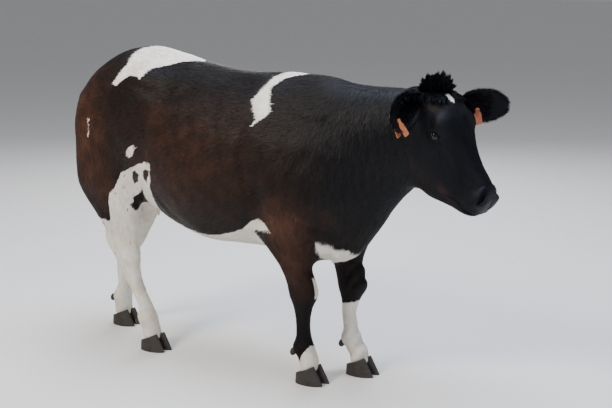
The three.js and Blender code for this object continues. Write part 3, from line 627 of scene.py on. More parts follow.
def remeshed(verts, quads, tris, size):
    """The union of closed shapes as one even quad mesh, by a voxel remesh of the given size in mm."""
    mesh = make_mesh("blank", to_frame(verts), [quads, tris])
    blank = bpy.data.objects.new("blank", mesh)
    bpy.context.scene.collection.objects.link(blank)
    remesh = blank.modifiers.new("Voxels", "REMESH")
    remesh.mode = "VOXEL"
    remesh.voxel_size = size * MM
    made = blank.evaluated_get(bpy.context.evaluated_depsgraph_get()).to_mesh()
    points = np.empty(len(made.vertices) * 3, np.float32)
    made.vertices.foreach_get("co", points)
    corners = np.empty(len(made.loops), np.int32)
    made.loops.foreach_get("vertex_index", corners)
    if len(corners) != 4 * len(made.polygons):
        raise RuntimeError("the remesh gave faces that aren't quads")
    points = points.reshape(-1, 3).astype(float) / MM + np.array([MIDDLE, 0, 0])
    bpy.data.objects.remove(blank)
    bpy.data.meshes.remove(mesh)
    return points, corners.reshape(-1, 4).astype(int)


def finer(verts, quads, marked, others):
    """Splits the marked quads in four. A neighbour whose edge is split keeps its place and
    gains the new corner."""
    edges = np.sort(np.stack([quads, np.roll(quads, -1, 1)], -1), -1)          # (faces, 4, 2)
    split = np.unique(edges[marked].reshape(-1, 2), axis=0)
    span = len(verts)
    codes = split[:, 0] * span + split[:, 1]
    flat = edges[..., 0] * span + edges[..., 1]
    found = np.clip(np.searchsorted(codes, flat), 0, len(codes) - 1)
    middle = np.where(codes[found] == flat, found + span, -1)                  # the new vertex on each edge
    centres = verts[quads[marked]].mean(1)
    centre = span + len(split) + np.arange(len(centres))
    new_verts = np.concatenate([verts, verts[split].mean(1), centres])
    q, m = quads[marked], middle[marked]
    small = [np.stack([q[:, k], m[:, k], centre, m[:, k - 1]], 1) for k in range(4)]
    touched = ~marked & (middle >= 0).any(1)
    untouched = quads[~marked & ~touched]
    loops = np.empty((touched.sum(), 8), int)
    loops[:, 0::2], loops[:, 1::2] = quads[touched], middle[touched]
    return new_verts, np.concatenate([untouched, *small]), others + [row[row >= 0] for row in loops]


def by_corners(faces):
    """Faces of differing size as arrays, one for each number of corners."""
    sizes = {len(f) for f in faces}
    return [np.array([f for f in faces if len(f) == k]) for k in sorted(sizes)]


def eased(verts, edges, weight):
    """Each vertex moved part of the way to the mean of its neighbours."""
    a = np.concatenate([edges[:, 0], edges[:, 1]])
    b = np.concatenate([edges[:, 1], edges[:, 0]])
    count = np.maximum(np.bincount(a, minlength=len(verts)), 1)
    mean = np.stack([np.bincount(a, verts[b, k], len(verts)) for k in range(3)], 1) / count[:, None]
    return verts + weight * (mean - verts)


def all_edges(quads, groups):
    """Every edge of the quads and of the other faces, once."""
    pairs = [np.stack([quads, np.roll(quads, -1, 1)], -1).reshape(-1, 2)]
    pairs += [np.stack([g, np.roll(g, -1, 1)], -1).reshape(-1, 2) for g in groups]
    return np.unique(np.sort(np.concatenate(pairs), 1), axis=0)


def body_skin(size):
    """The body's skin: an even blank, made finer on the head and lower legs and finest round eyes, nose and
    lips, and moved on to the skin's field between rounds of easing."""
    verts, quads = remeshed(*body_blank(), size)
    coarse = lambda p: flesh_field(p) + 5.0
    edges = all_edges(quads, [])
    for _ in range(2):
        verts = towards(coarse, verts, 3)
        verts = eased(verts, edges, 0.5)
    verts = towards(coarse, verts, 2)
    others = []
    middle = verts[quads].mean(1)
    head = (middle[:, 0] > 905) & (on_head(middle)[0] > -20)
    verts, quads, others = finer(verts, quads, head | (middle[:, 2] < 430), others)
    middle = verts[quads].mean(1)
    down, side, _ = on_head(middle)
    eye = eye_distance(middle) < 58
    lips = (down > 300) & ((np.abs(side) > 18) | (down > 392))
    verts, quads, others = finer(verts, quads, (middle[:, 0] > HEAD_FROM) & (eye | lips), others)
    middle = verts[quads].mean(1)
    eye = eye_distance(middle) < 34
    verts, quads, others = finer(verts, quads, (middle[:, 0] > HEAD_FROM) & eye, others)
    groups = by_corners(others)
    edges = all_edges(quads, groups)
    for weight in (0.5, 0.4, 0.25):
        verts = eased(towards(skin_field, verts, 2), edges, weight)
    verts = towards(skin_field, verts, 2, 4.0)
    return verts, quads, groups


# ------------------------------------------------------------------ ears, tail and teats
def ear_frame(ear):
    """The ear's root and its directions along it, across it and out of its opening."""
    along = unit(np.array(ear["along"], float))
    opening = np.array(ear["open"], float)
    opening = unit(opening - along * (opening @ along))
    return from_head(*ear["root"]), along, np.cross(opening, along), opening


EAR_HALF = curve([0, 0.12, 0.3, 0.5, 0.7, 0.86, 0.95, 1], [0.3, 0.44, 0.8, 1, 0.96, 0.7, 0.42, 0.1])
EAR_CUP = curve([0, 0.15, 0.4, 0.7, 1], [0.95, 0.85, 0.5, 0.3, 0.15])


def ear_point(ear, v, t, face, trim=1.0):
    """A point of the ear's shell: v along it, t from -1 to 1 across it, face 1 in the cup and -1 behind.
    The cup's depth is the half width times 1 - t^2, and the shell thins to its rim."""
    root, along, across, opening = ear_frame(ear)
    half = EAR_WIDTH / 2 * EAR_HALF(v) * trim
    cup = half * EAR_CUP(v) * (1 - t * t)
    thick = EAR_THICKNESS / 2 * (1 - 0.5 * v) * np.sqrt(np.maximum(1 - t * t, 0)) * 0.8
    return (root + (EAR_LENGTH * v * (0.03 + 0.97 * trim))[..., None] * along + (half * t)[..., None] * across
            + (face * thick - cup)[..., None] * opening)


def ear_surface(ear, rows=44, around=56):
    """The ear as a closed grid: round it by angle, from its root to its tip."""
    v = (np.linspace(0, 1, rows)[:, None] ** 0.9) * 0.985
    turn = np.linspace(0, 2 * math.pi, around, endpoint=False)[None, :]
    t = np.cos(turn) * 0.999 + 0 * v
    face = np.clip(np.sin(turn) * 6, -1, 1) + 0 * v
    return ear_point(ear, v + 0 * turn, t, face, 0.965)


def path_rings(path, radius, rows, around):
    """Rings of radius(v) round a smooth path: each square to it, v from 0 to 1 along its length."""
    path = np.array(path, float)
    chord = np.concatenate([[0], np.cumsum(np.linalg.norm(np.diff(path, axis=0), axis=1))])
    v = np.linspace(0, 1, rows)
    centre = np.stack([curve(chord, path[:, k])(v * chord[-1]) for k in range(3)], 1)
    tangent = unit(np.gradient(centre, axis=0))
    side = unit(SIDE - tangent * tangent[:, 1:2])
    front = np.cross(side, tangent)
    turn = np.linspace(0, 2 * math.pi, around, endpoint=False)
    r = radius(v)[:, None, None]
    ring = centre[:, None] + r * (side[:, None] * np.cos(turn)[None, :, None]
                                  + front[:, None] * np.sin(turn)[None, :, None])
    return ring, centre, tangent


def tail_radius(v):
    """The tail's skin: 33 mm at its root, thinning fast to about 11 mm."""
    return 33 + (11 - 33) * np.minimum(v / 0.35, 1) ** 0.6


# ------------------------------------------------------------------ markings
# Outlines on the trunk: x and girth, which is 300 mm times the angle from the top, + on the right side
GIRTH, GIRTH_LEVEL = 300.0, 880.0
PATCHES = [
    # over the rump
    [(-168, -21), (-198, 41), (-236, 104), (-276, 147), (-285, 184), (-296, 203), (-328, 192), (-361, 193),
     (-395, 210), (-414, 229), (-440, 224), (-424, 203), (-404, 155), (-420, 95), (-441, -10), (-446, -90),
     (-416, -176), (-350, -214), (-280, -178), (-226, -104)],
    # an oval on the thigh, and a streak behind it
    [(-366, 508), (-360, 486), (-337, 459), (-311, 447), (-300, 462), (-318, 495), (-350, 514)],
    [(-563, 350), (-554, 352), (-549, 390), (-554, 432), (-561, 430), (-556, 390)],
    # a band down from the withers
    [(298, -20), (272, 62), (262, 142), (243, 206), (266, 248), (284, 284), (266, 324), (284, 308),
     (310, 275), (332, 238), (326, 206), (296, 141), (312, 84), (332, 56), (378, 14), (404, -40),
     (372, -110), (330, -180), (306, -160), (318, -90)],
]
# Under the belly and between the forelegs: x and girth, alike on both sides
UNDERSIDE = [
    [(-270, 850), (-230, 800), (-181, 792), (-80, 786), (0, 792), (61, 785), (141, 764), (213, 741),
     (262, 712), (303, 694), (343, 700), (366, 725), (384, 800), (400, 990), (-330, 990), (-320, 900)],
    [(512, 798), (530, 804), (552, 827), (582, 853), (614, 888), (618, 990), (512, 990), (502, 880)],
]
# Spots on the right thigh's white: x and height
THIGH_SPOTS = [
    [(-374, 752), (-352, 782), (-330, 790), (-308, 776), (-338, 742), (-374, 726)],
    [(-272, 796), (-250, 806), (-226, 800), (-256, 748), (-278, 764)],
    [(-326, 716), (-372, 684), (-410, 660), (-428, 628), (-420, 598), (-398, 596), (-372, 622), (-350, 668)],
]
# The upper edge of the hind legs' white: x, height, as the right leg stands
HIND_EDGE = [(-800, 560), (-530, 548), (-512, 640), (-498, 676), (-465, 704), (-444, 740), (-421, 775),
             (-357, 800), (-291, 822), (-252, 835), (-205, 836), (-150, 836)]
# Warm brown in the black, alike on both sides: x, y, z, reach, amount
RUSSET = [
    ((-600, 240, 930), (130, 150, 260), 0.95), ((-520, 240, 700), (90, 100, 130), 0.6),
    ((-60, 290, 850), (400, 130, 230), 0.42), ((420, 240, 625), (100, 100, 120), 0.95),
    ((430, 180, 500), (80, 80, 120), 0.8), ((540, 150, 690), (60, 60, 60), 0.45),
    ((-640, 0, 900), (90, 200, 220), 0.7), ((-180, 270, 1010), (120, 90, 90), 0.35),
]
FACE_RUSSET = [((340, 60, -172), (40, 36, 20), 0.26), ((60, 80, -30), (34, 34, 24), 0.10),
               ((230, 80, -240), (70, 60, 50), 0.12)]


def inside(a, b, outline):
    """Signed distance to a closed outline in a plane, positive inside it, by its nearest edge
    and crossing number."""
    outline = np.array(outline, float)
    ends = np.roll(outline, -1, 0)
    best = np.full(a.shape, 1e9)
    odd = np.zeros(a.shape, bool)
    for (x0, y0), (x1, y1) in zip(outline, ends):
        dx, dy = x1 - x0, y1 - y0
        t = np.clip(((a - x0) * dx + (b - y0) * dy) / (dx * dx + dy * dy), 0, 1)
        best = np.minimum(best, np.hypot(a - x0 - t * dx, b - y0 - t * dy))
        if y0 != y1:
            odd ^= ((y0 > b) != (y1 > b)) & (a < x0 + (b - y0) / (y1 - y0) * dx)
    return np.where(odd, best, -best)


FAR_OFF = -200.0        # mm: well outside a patch


def own_length(x, y, z, step):
    """x of a leg as if it stood where the right one stands: the left leg's step at each height
    is taken off."""
    return x - np.where(y > 0, np.interp(z, *zip(*step)), 0)


def warmth(q, patches):
    """The strongest of the rusty patches at each point: amount * exp(-|(q - middle) / reach|^2)."""
    return np.max([amount * np.exp(-(((q - np.array(at, float)) / np.array(reach, float)) ** 2).sum(1))
                   for at, reach, amount in patches], axis=0)


def markings(p):
    """White as a signed distance in mm, + inside it; warm brown from 0 to 1; and bare dark
    skin as a signed distance."""
    x, y, z = p.T
    ragged = 2.4 * waves(p, 60, 11) + 1.6 * waves(p, 20, 12)
    girth = GIRTH * np.arctan2(-y, z - GIRTH_LEVEL)
    white = np.full(len(p), FAR_OFF)
    trunk = z > 470
    for outline in PATCHES:
        white = np.maximum(white, np.where(trunk, inside(x, girth, outline), FAR_OFF))
    ahead = own_length(x, y, z, FORE_STEP)
    on_fore = ((np.abs(y) > 46) & (z < 610) & (ahead < np.interp(z, (400, 520, 600), (492, 485, 515)))
               & (ahead > np.interp(z, (400, 460, 520, 600), (344, 323, 293, 268))))
    low = (z > 470) & ~on_fore
    for outline in UNDERSIDE:
        white = np.maximum(white, np.where(low, inside(x, np.abs(girth), outline), FAR_OFF))
    # hind legs: below an edge that rises forwards, and the brown strip down the back of the thigh
    own_x = own_length(x, y, z, HIND_STEP)
    edge = np.interp(own_x, *zip(*HIND_EDGE)) - np.where(y > 0, 30, 0)
    front = -205 + 0.32 * (z - 830) + 400 * (1 - ramp(520, 620, z))
    hind = np.minimum((edge - z) * 0.8, front - own_x)
    hind = np.where(np.abs(y) < 95, np.minimum(700 - z, (front - own_x)), hind)
    hind = np.where(x < -120, hind, FAR_OFF)
    for outline in THIGH_SPOTS:
        spot = np.where(y < -90, -inside(x, z, outline), 200)
        hind = np.minimum(hind, spot)
    flecks = 22 * (1.16 - waves(p * [1, 1, 0.7], 40, 15)) - 2
    hind = np.minimum(hind, np.where((y < 0) & (z > 300), flecks, 200))
    white = np.maximum(white, hind)
    # forelegs: a low sock on the right that rises in front, with a stripe inside, and a high sock on the left
    sock = np.where(y < 0, 86 + 1.9 * np.maximum(x - 430, 0) - z, 292 + 0.18 * (x - 500) - z)
    stripe = inside(x, z, [(476, 470), (520, 470), (520, 340), (474, 340), (466, 400)])
    stripe = np.where((y < 0) & (y > -112), stripe, FAR_OFF)
    white = np.maximum(white, np.where((x > 200) & (z < 520), np.maximum(sock, stripe), FAR_OFF))
    # star
    down, side, out = on_head(p)
    star = 1 - np.hypot((down - 42) / 17, (side + 18) / 17)
    star = np.minimum(star * 15 + 6 * waves(p, 17, 14), out * 2 + 30)
    white = np.maximum(white, np.where(x > 960, star, FAR_OFF)) + ragged * np.where(x > 960, 0.4, 1)
    # warm brown
    on_face = warmth(np.stack([down, np.abs(side), out], 1), FACE_RUSSET)
    warm = np.maximum(warmth(np.stack([x, np.abs(y), z], 1), RUSSET), np.where(x > 900, on_face, 0))
    warm = np.clip(warm * (1 + 0.35 * waves(p, 90, 16)), 0, 1)
    # bare skin: the muzzle's pad and lips, and the lids' rims
    pad = np.minimum(down - 400 - 0.3 * np.abs(side), out + 92 + 0.1 * np.abs(side)) + 2 * waves(p, 26, 17)
    along, high, outward = eye_axes(down, side, out)
    rim = 3.4 - np.abs(eye_opening(along, high) - 1)
    rim = np.where(outward > 0, rim, -50)
    bare = np.where(x > HEAD_FROM, np.maximum(pad, rim), -50)
    udder = -ball(p, UDDER_AT, (124, 96, 86)) - 2
    white = np.where(udder > 0, np.maximum(white, 12), white)
    return white, warm, bare, udder


# ------------------------------------------------------------------ the lie of the coat
def part_weights(p):
    """How far each point belongs to the head and to the legs, 0 to 1."""
    trunk, head = trunk_field(p), head_field(p)
    legs = np.min([leg_field(p, leg) for leg in LEGS], axis=0)
    on_face = ramp(-30, 50, trunk - head) * (p[:, 0] > 870)
    return on_face, ramp(-40, 60, np.minimum(trunk, head) - legs)


def coolness(p):
    """How blue-black the dark hair is, 0 to 1: all on the face, less down the neck, none
    behind the shoulder."""
    on_face, _ = part_weights(p)
    return np.maximum(on_face, 0.75 * ramp(430, 760, p[:, 0]) * ramp(560, 760, p[:, 2]))


def lie(p, normal):
    """The way the hair points: back and down the sides, down the neck and legs, and on the face away from the
    forehead's whorl, down the nose and back over the cheeks; laid in the skin's plane and a little wavy."""
    x, y, z = p.T
    on_face, on_leg = part_weights(p)
    hand = np.sign(y) * ramp(0, 40, np.abs(y))
    one = np.ones_like(x)
    back = np.stack([-one, 0.3 * hand * ramp(1100, 1220, z), -0.28 - 0.5 * ramp(0, 1, (1120 - z) / 500)], 1)
    throat = np.stack([-0.16 * one, 0.15 * hand, -one], 1)
    neck = (ramp(330, 640, x) * (1 - 0.5 * ramp(1150, 1200, z)))[:, None]
    way = back * (1 - neck) + throat * neck
    leg = np.stack([-0.16 * one, 0 * one, -one], 1)
    way = way * (1 - on_leg[:, None]) + leg * on_leg[:, None]
    down, side, out = on_head(p)
    whorl = 104
    face = (np.clip((down - whorl) / 50, -1, 1)[:, None] * DOWN
            + (np.clip(side / 60, -1, 1) * np.exp(-((down - whorl) / 60) ** 2))[:, None] * SIDE)
    cheek = 0.45 * DOWN - 0.9 * OUT
    low = ((1 - ramp(-125, -55, out)) * (1 - ramp(280, 360, down)))[:, None]
    face = face * (1 - low) + cheek * low
    way = way * (1 - on_face[:, None]) + face * on_face[:, None]
    way = way - normal * (way * normal).sum(1, keepdims=True)
    way = unit(way)
    across = np.cross(normal, way)
    drift = 0.16 * waves(p, 150, 21) + 0.07 * waves(p, 40, 22)
    return unit(way + across * drift[:, None])


def coat_size(p):
    """Length, width and rise of the tufts, in mm, and how many to the square mm, at points of the skin."""
    x, _, z = p.T
    on_face, on_leg = part_weights(p)
    low = 1 - ramp(400, 620, z)
    neck, belly = ramp(380, 680, x), 1 - ramp(520, 640, z)
    length = 27 + 7 * neck + 12 * belly * (1 - on_leg)
    length = length * (1 - on_leg) + on_leg * (24 - 11 * low + 8 * (1 - ramp(70, 100, z)))
    width = 3.5 + 0.5 * neck - 0.9 * on_leg * low
    rise = 2.1 + 0.3 * neck + 1.8 * belly - 0.6 * on_leg * low
    count = 0.045 + 0.006 * neck + 0.030 * on_leg * low
    down, _, out = on_head(p)
    cheek = (1 - ramp(-170, -90, out)) * (1 - ramp(220, 330, down))
    top = (1 - ramp(10, 70, down)) * ramp(-70, -20, out)
    length = length * (1 - on_face) + on_face * (11 + 8 * cheek + 12 * top - 3 * ramp(280, 380, down))
    width = width * (1 - on_face) + on_face * (2.4 + 0.6 * cheek + 0.6 * top)
    rise = rise * (1 - on_face) + on_face * (1.7 + 0.4 * cheek + 1.8 * top - 0.5 * ramp(300, 390, down))
    count = count * (1 - on_face) + on_face * 0.13
    return length, width, rise, count


def scattered(verts, tris, normals, density, seed):
    """Roots spread over triangles at random: as many as the summed area times density, with a
    seeded generator."""
    rng = np.random.default_rng(seed)
    a, b, c = (verts[tris[:, k]] for k in range(3))
    area = np.linalg.norm(np.cross(b - a, c - a), axis=1) / 2 * density[tris].mean(1)
    total = np.cumsum(area)
    pick = np.minimum(np.searchsorted(total, rng.uniform(0, total[-1], int(total[-1]))), len(tris) - 1)
    r, s = np.sqrt(rng.uniform(size=len(pick))), rng.uniform(size=len(pick))
    w = np.stack([1 - r, r * (1 - s), r * s], 1)[:, :, None]
    corners = tris[pick]
    return (verts[corners] * w).sum(1), unit((normals[corners] * w).sum(1))


def tufts(centre, side, up, half, thick):
    """Closed tapering tufts. centre (tufts, rows + 1, 3) runs from root to tip; each row but
    the tip is a triangle of the two edges, centre +- side * half, and the ridge, centre + up *
    thick. Returns vertices and triangles."""
    many, rows = centre.shape[0], centre.shape[1] - 1
    c = centre[:, :-1]
    left, right = c + side * half[..., None], c - side * half[..., None]
    ring = np.stack([left, right, c + up * thick[..., None]], 2).reshape(many, rows * 3, 3)
    verts = np.concatenate([ring, centre[:, -1:]], 1)
    faces = [(0, 1, 2)]
    for k in range(rows - 1):
        for i, j in ((0, 2), (2, 1), (1, 0)):
            a, b, d, e = 3 * k + i, 3 * k + j, 3 * k + 3 + j, 3 * k + 3 + i
            faces += [(a, b, d), (a, d, e)]
    last, tip = 3 * (rows - 1), 3 * rows
    faces += [(last, last + 2, tip), (last + 2, last + 1, tip), (last + 1, last, tip)]
    tris = np.array(faces)[None] + (np.arange(many) * (3 * rows + 1))[:, None, None]
    return verts.reshape(-1, 3), tris.reshape(-1, 3)


def tuft_normals(side, up, way, rows, round_off=0.55):
    """A normal for each corner of each face of the tufts, in the order of their faces: up,
    leaning to the side on the two upper faces' outer edges, so that a tuft shades as a rounded
    strand and not as a folded strip."""
    left, right = unit(up + side * round_off), unit(up - side * round_off)
    by_corner = {0: left, 1: right, 2: up}
    faces = [[-way] * 3]
    for k in range(rows - 1):
        for i, j in ((0, 2), (2, 1), (1, 0)):
            a, b = (-up, -up) if (i, j) == (1, 0) else (by_corner[i], by_corner[j])
            faces += [[a, b, b], [a, b, a]]
    faces += [[left, up, up], [up, right, up], [-up, -up, -up]]
    return np.stack([np.stack(corners, 1) for corners in faces], 1).reshape(-1, 3)


HOOF_TOP = 42.0         # no tuft is rooted below this height
NO_WHITE = -50.0        # the mark of hair that is dark wherever it grows


def patch_offsets(rows):
    """Where a tuft's vertices lie in its patch of the bake map, which is 0.003 across."""
    places = []
    for k in range(rows):
        v = 0.0026 * k / rows - 0.0013
        places += [(-0.0015, v), (0.0015, v), (0.0, v + 0.0004)]
    return np.array(places + [(0.0, 0.0015)])


def coat_piece(name, roots, centre, side, up, half, thick, places, material, seed, replaces=(),
               sheen_up=None, marked=True):
    """One mesh of tufts with their marks, shade and bake map. places is each root's place on the skin's
    unwrap; sheen_up is the way each tuft's upper side faces the light."""
    rng = np.random.default_rng(seed)
    rows = centre.shape[1] - 1
    verts, tris = tufts(centre, side, up, half, thick)
    metres = to_frame(verts)
    low, high = np.array(CAD_BOX[0]) + 0.0004, np.array(CAD_BOX[1]) - 0.0004
    metres = np.clip(metres, low, high)
    mesh = make_mesh(name, metres, [tris])
    flat = sheen_up if sheen_up is not None else np.broadcast_to(up, centre[:, :1].shape)[:, 0]
    across = np.broadcast_to(side, centre[:, :1].shape)[:, 0]
    if len(mesh.loops) != len(roots) * 3 * len(tris) // len(roots):
        raise RuntimeError(f"{name} lost faces")
    mesh.normals_split_custom_set(tuft_normals(across, flat, unit(centre[:, 1] - centre[:, 0]), rows))
    each = 3 * rows + 1
    white, warm, bare, _ = markings((centre[:, 0] + centre[:, 1]) / 2)
    if not marked:
        white = np.full(len(roots), NO_WHITE)
    marks = np.stack([white + rng.normal(0, 0.8, len(roots)), warm, np.minimum(bare, 0)], 1)
    write_attribute(mesh, "Marks", np.repeat(marks, each, 0))
    streak = waves(roots * [1, 1, 0.16], 17, 31)
    shade = np.clip(0.5 + 0.3 * streak + rng.normal(0, 0.2, len(roots)), 0, 1)
    write_attribute(mesh, "Shade", np.repeat(shade, each))
    write_attribute(mesh, "Cool", np.repeat(coolness(roots), each))
    tip = np.tile(np.append(np.repeat(np.arange(rows) / rows, 3), 1.0), len(roots))
    write_attribute(mesh, "Tip", tip)
    spread = places - places.min(0)
    spread = 0.003 + 0.994 * spread / np.maximum(spread.max(0), 1e-6)
    uv = (spread[:, None] + patch_offsets(rows)[None]).reshape(-1, 2)
    layer = mesh.uv_layers.new(name="OFBake")
    index = np.empty(len(mesh.loops), np.int32)
    mesh.loops.foreach_get("vertex_index", index)
    layer.data.foreach_set("uv", uv[index].astype(np.float32).ravel())
    place(name, mesh, material, replaces)


def flat_tufts(name, roots, normal, rows, material, places, seed, fit=True, sizes=None, way=None):
    """Tufts that lie along the skin: each leaves it a little under the surface and ends at its rise above
    it, drawn down or up along the normal until the body's field agrees."""
    rng = np.random.default_rng(seed + 1)
    length, width, rise = sizes if sizes is not None else coat_size(roots)[:3]
    way = lie(roots, normal) if way is None else way
    many = len(roots)
    clump = waves(roots * [1, 1, 0.16], 20, 33)
    edge = ramp(0, 22, np.abs(markings(roots)[0]))
    length = length * rng.uniform(0.7, 1.25, many) * (1 + 0.10 * clump) * (0.45 + 0.55 * edge)
    width = width * rng.uniform(0.75, 1.25, many)
    rise = rise * np.clip(rng.uniform(0.5, 0.95, many) + 0.2 * clump, 0.3, 1.15)
    across = np.cross(normal, way)
    way = unit(way + across * rng.normal(0, 0.09, many)[:, None])
    across = np.cross(normal, way)
    bend = rng.normal(0, 0.05, many) * length
    t = (np.arange(rows + 1) / rows)[None, :, None]
    sink = 1.0
    line = (roots[:, None] + way[:, None] * length[:, None, None] * t
            + across[:, None] * bend[:, None, None] * t**2)
    height = -sink + (rise[:, None, None] + sink) * t**0.8
    if fit:
        base = flesh_field(roots) - folds(roots)
        for k in range(1, rows + 1):
            p = line[:, k]
            off = np.clip(flesh_field(p) - folds(p) - base, -9, 9)
            line[:, k] = p - normal * off[:, None]
    line = line + normal[:, None] * height
    taper = [1.0] if rows == 1 else [0.75, 1.0]
    half = width[:, None] / 2 * np.array(taper)[None]
    thick = np.minimum(0.3 * width, 0.5 * rise + 0.4)[:, None] * np.array(taper)[None]
    lit = unit(normal + across * rng.normal(0, 0.16, many)[:, None]
               + way * rng.normal(0.05, 0.08, many)[:, None])
    coat_piece(name, roots, line, across[:, None], normal[:, None], half, thick, places, material, seed,
               sheen_up=lit)


def trunk_unwrap(p):
    """x, and the girth round the trunk's middle."""
    return np.stack([p[:, 0], GIRTH * np.arctan2(-p[:, 1], p[:, 2] - GIRTH_LEVEL)], 1)


def head_unwrap(p):
    """Distance down the face, and the angle round the head's middle."""
    down, side, out = on_head(p)
    return np.stack([down, 110 * np.arctan2(side, out + 100)], 1)


def leg_unwrap(p):
    """Height, and the angle round each leg's own middle, the legs side by side."""
    places = np.zeros((len(p), 2))
    fields = np.stack([leg_field(p, leg) for leg in LEGS])
    nearest = fields.argmin(0)
    for k, (loft, hand) in enumerate(LEGS.values()):
        front, rear, inner, outer, _ = loft["at"](p[:, 2])
        turn = np.arctan2(p[:, 1] - hand * (inner + outer) / 2, p[:, 0] - (front + rear) / 2)
        own = np.stack([p[:, 2], 100 * (turn + 2 * math.pi * 1.05 * k)], 1)
        places = np.where((nearest == k)[:, None], own, places)
    return places


# ------------------------------------------------------------------ the locks
TUFT_AT, TUFT_RADII = np.array([950.0, 0.0, 1176.0]), np.array([74.0, 82.0, 72.0])
TUFT_LOBES = [((-0.52, -0.42, 0.62), 0.97), ((0.34, 0.22, 0.86), 1.04), ((0.1, -0.7, 0.5), 0.9),
              ((-0.2, 0.75, 0.45), 0.9)]


def lock_lines(root, tip, droop, curl, rows, rng):
    """Curved lines from root to tip: the straight line, plus droop * 4t(1-t) across it and a curl that
    grows as t^2, drawn to the tip as each lock tapers."""
    t = (np.arange(rows + 1) / rows)[None, :, None]
    span = tip - root
    length = np.linalg.norm(span, axis=1)
    way = unit(span)
    side = unit(np.cross(way, rng.normal(size=way.shape)))
    line = root[:, None] + span[:, None] * t + droop[:, None] * (4 * t * (1 - t))
    line = line + side[:, None] * (length * curl)[:, None, None] * np.sin(math.pi * t) * 0.5
    return line, way, side


def lock_piece(name, root, tip, droop, curl, width, rows, material, places, seed, replaces=()):
    """Long tapering locks between roots and tips."""
    rng = np.random.default_rng(seed)
    line, way, side = lock_lines(root, tip, droop, curl, rows, rng)
    up = np.cross(way, side)
    taper = np.array([0.75, 1.0, 0.8, 0.5, 0.3, 0.2])[:rows] if rows > 2 else np.array([0.8, 0.9])[:rows]
    half = width[:, None] / 2 * taper[None]
    coat_piece(name, root, line, side[:, None], up[:, None], half, half * 0.7, places, material, seed,
               replaces, marked=False)


def poll_locks(count, rng):
    """Roots and tips of the mop between the ears. The tips lie over a dome that reaches down to the head's
    sides, raised into lobes and gathered into points of uneven height; the roots are on the skin under
    them, drawn in to the poll."""
    def dome(many, lowest):
        turn, lift = rng.uniform(0, 2 * math.pi, many), rng.uniform(lowest, 1, many)
        flat = np.sqrt(1 - lift**2)
        return np.stack([flat * np.cos(turn), flat * np.sin(turn), lift], 1)
    d, points = dome(count, 0.0), dome(110, 0.02)
    index = (d @ points.T).argmax(1)
    nearest, own = points[index], rng.uniform(0.86, 1.06, len(points))[index]
    tip_d = unit(d * 0.34 + nearest * 0.66)
    lobes = np.max([height * np.exp(-((tip_d - unit(np.array(at))) ** 2).sum(1) / 0.26)
                    for at, height in TUFT_LOBES], axis=0)
    gathered = np.clip(1 - np.linalg.norm(d - nearest, axis=1) / 0.45, 0, 1)
    low = 0.12 * (1 - ramp(0.1, 0.5, tip_d[:, 2]))
    reach = (0.82 + low + 0.16 * lobes + 0.06 * gathered) * own * rng.uniform(0.6, 1.0, count) ** 0.5
    tip = TUFT_AT + TUFT_RADII * tip_d * np.minimum(reach, 1.0)[:, None]
    root = TUFT_AT + TUFT_RADII * d * [0.62, 0.62, 0.3]
    root = towards(lambda p: flesh_field(p) + 4.0, root, 5, 20.0)
    return root, tip


def skirt_locks(count, rng):
    """Roots, tips and droop of the forelock, the hair round the mop's foot: it leaves the poll outwards on
    every side, thickest over the forehead, and lies over the skin towards the ears and eyes with its ends
    lifted a little. None grows over the star."""
    turn = rng.uniform(-math.pi, math.pi, count)
    reach = rng.uniform(0.5, 1.05, count)
    flat = np.stack([np.cos(turn), np.sin(turn), 0 * turn], 1)
    root = towards(lambda p: flesh_field(p) + 3.0, TUFT_AT + TUFT_RADII * flat * reach[:, None], 5, 30.0)
    normal = unit(root - from_head(40.0, 0.0, -110.0))
    way = flat + [0, 0, -0.6] + rng.normal(0, 0.22, (count, 3))
    way = unit(way - normal * (way * normal).sum(1, keepdims=True))
    length = rng.uniform(20, 50, count)
    skin = towards(lambda p: flesh_field(p) + 2.0, root + way * length[:, None], 4, 20.0)
    lift = rng.uniform(0.1, 1, count) * (8 + 20 * np.abs(np.sin(turn)) * reach)
    tip = skin + unit(skin - from_head(40.0, 0.0, -110.0)) * lift[:, None]
    off_star = (markings(tip)[0] < -7) & (markings((root + tip) / 2)[0] < -7)
    return root[off_star], tip[off_star], (normal * (0.09 * length)[:, None])[off_star]


def ear_locks(ear, count, rng):
    """Roots, tips and places on the bake map of an ear's fringe, from its rim, and of the hair
    inside the cup."""
    _, along, across, opening = ear_frame(ear)
    v = rng.uniform(0.14, 1.0, count) ** 0.7 * 0.985
    hand = rng.choice([-1.0, 1.0], count)
    t = hand * rng.uniform(0.90, 0.995, count)
    face = rng.uniform(-1, 1, count)
    root = ear_point(ear, v, t, face, 0.955)
    outwards = hand[:, None] * across * (1 - 0.7 * ramp(0.8, 1, v))[:, None]
    way = unit(along * (0.55 + 0.9 * ramp(0.75, 1, v))[:, None] + outwards * 0.8
               + opening * rng.normal(0.12, 0.28, count)[:, None])
    tip = root + way * rng.uniform(7, 19, count)[:, None]
    inner = count // 2
    v = rng.uniform(0.05, 0.72, inner)
    t = rng.uniform(-0.85, 0.85, inner)
    root_in = ear_point(ear, v, t, 0.9 + 0 * v, 0.94)
    way = unit(along * 0.9 + opening * rng.uniform(0.25, 0.8, inner)[:, None]
               - across * (t * 0.5)[:, None] + across * rng.normal(0, 0.2, inner)[:, None])
    tip_in = root_in + way * (rng.uniform(16, 34, inner) * (1 - 0.4 * v))[:, None]
    rim_place = np.stack([100 * rng.uniform(0.12, 1.0, count), np.full(count, 60 * t[0])], 1)
    cup_place = np.stack([100 * v, 60 * t], 1)
    return tuple(np.concatenate(pair) for pair in ((root, root_in), (tip, tip_in), (rim_place, cup_place)))


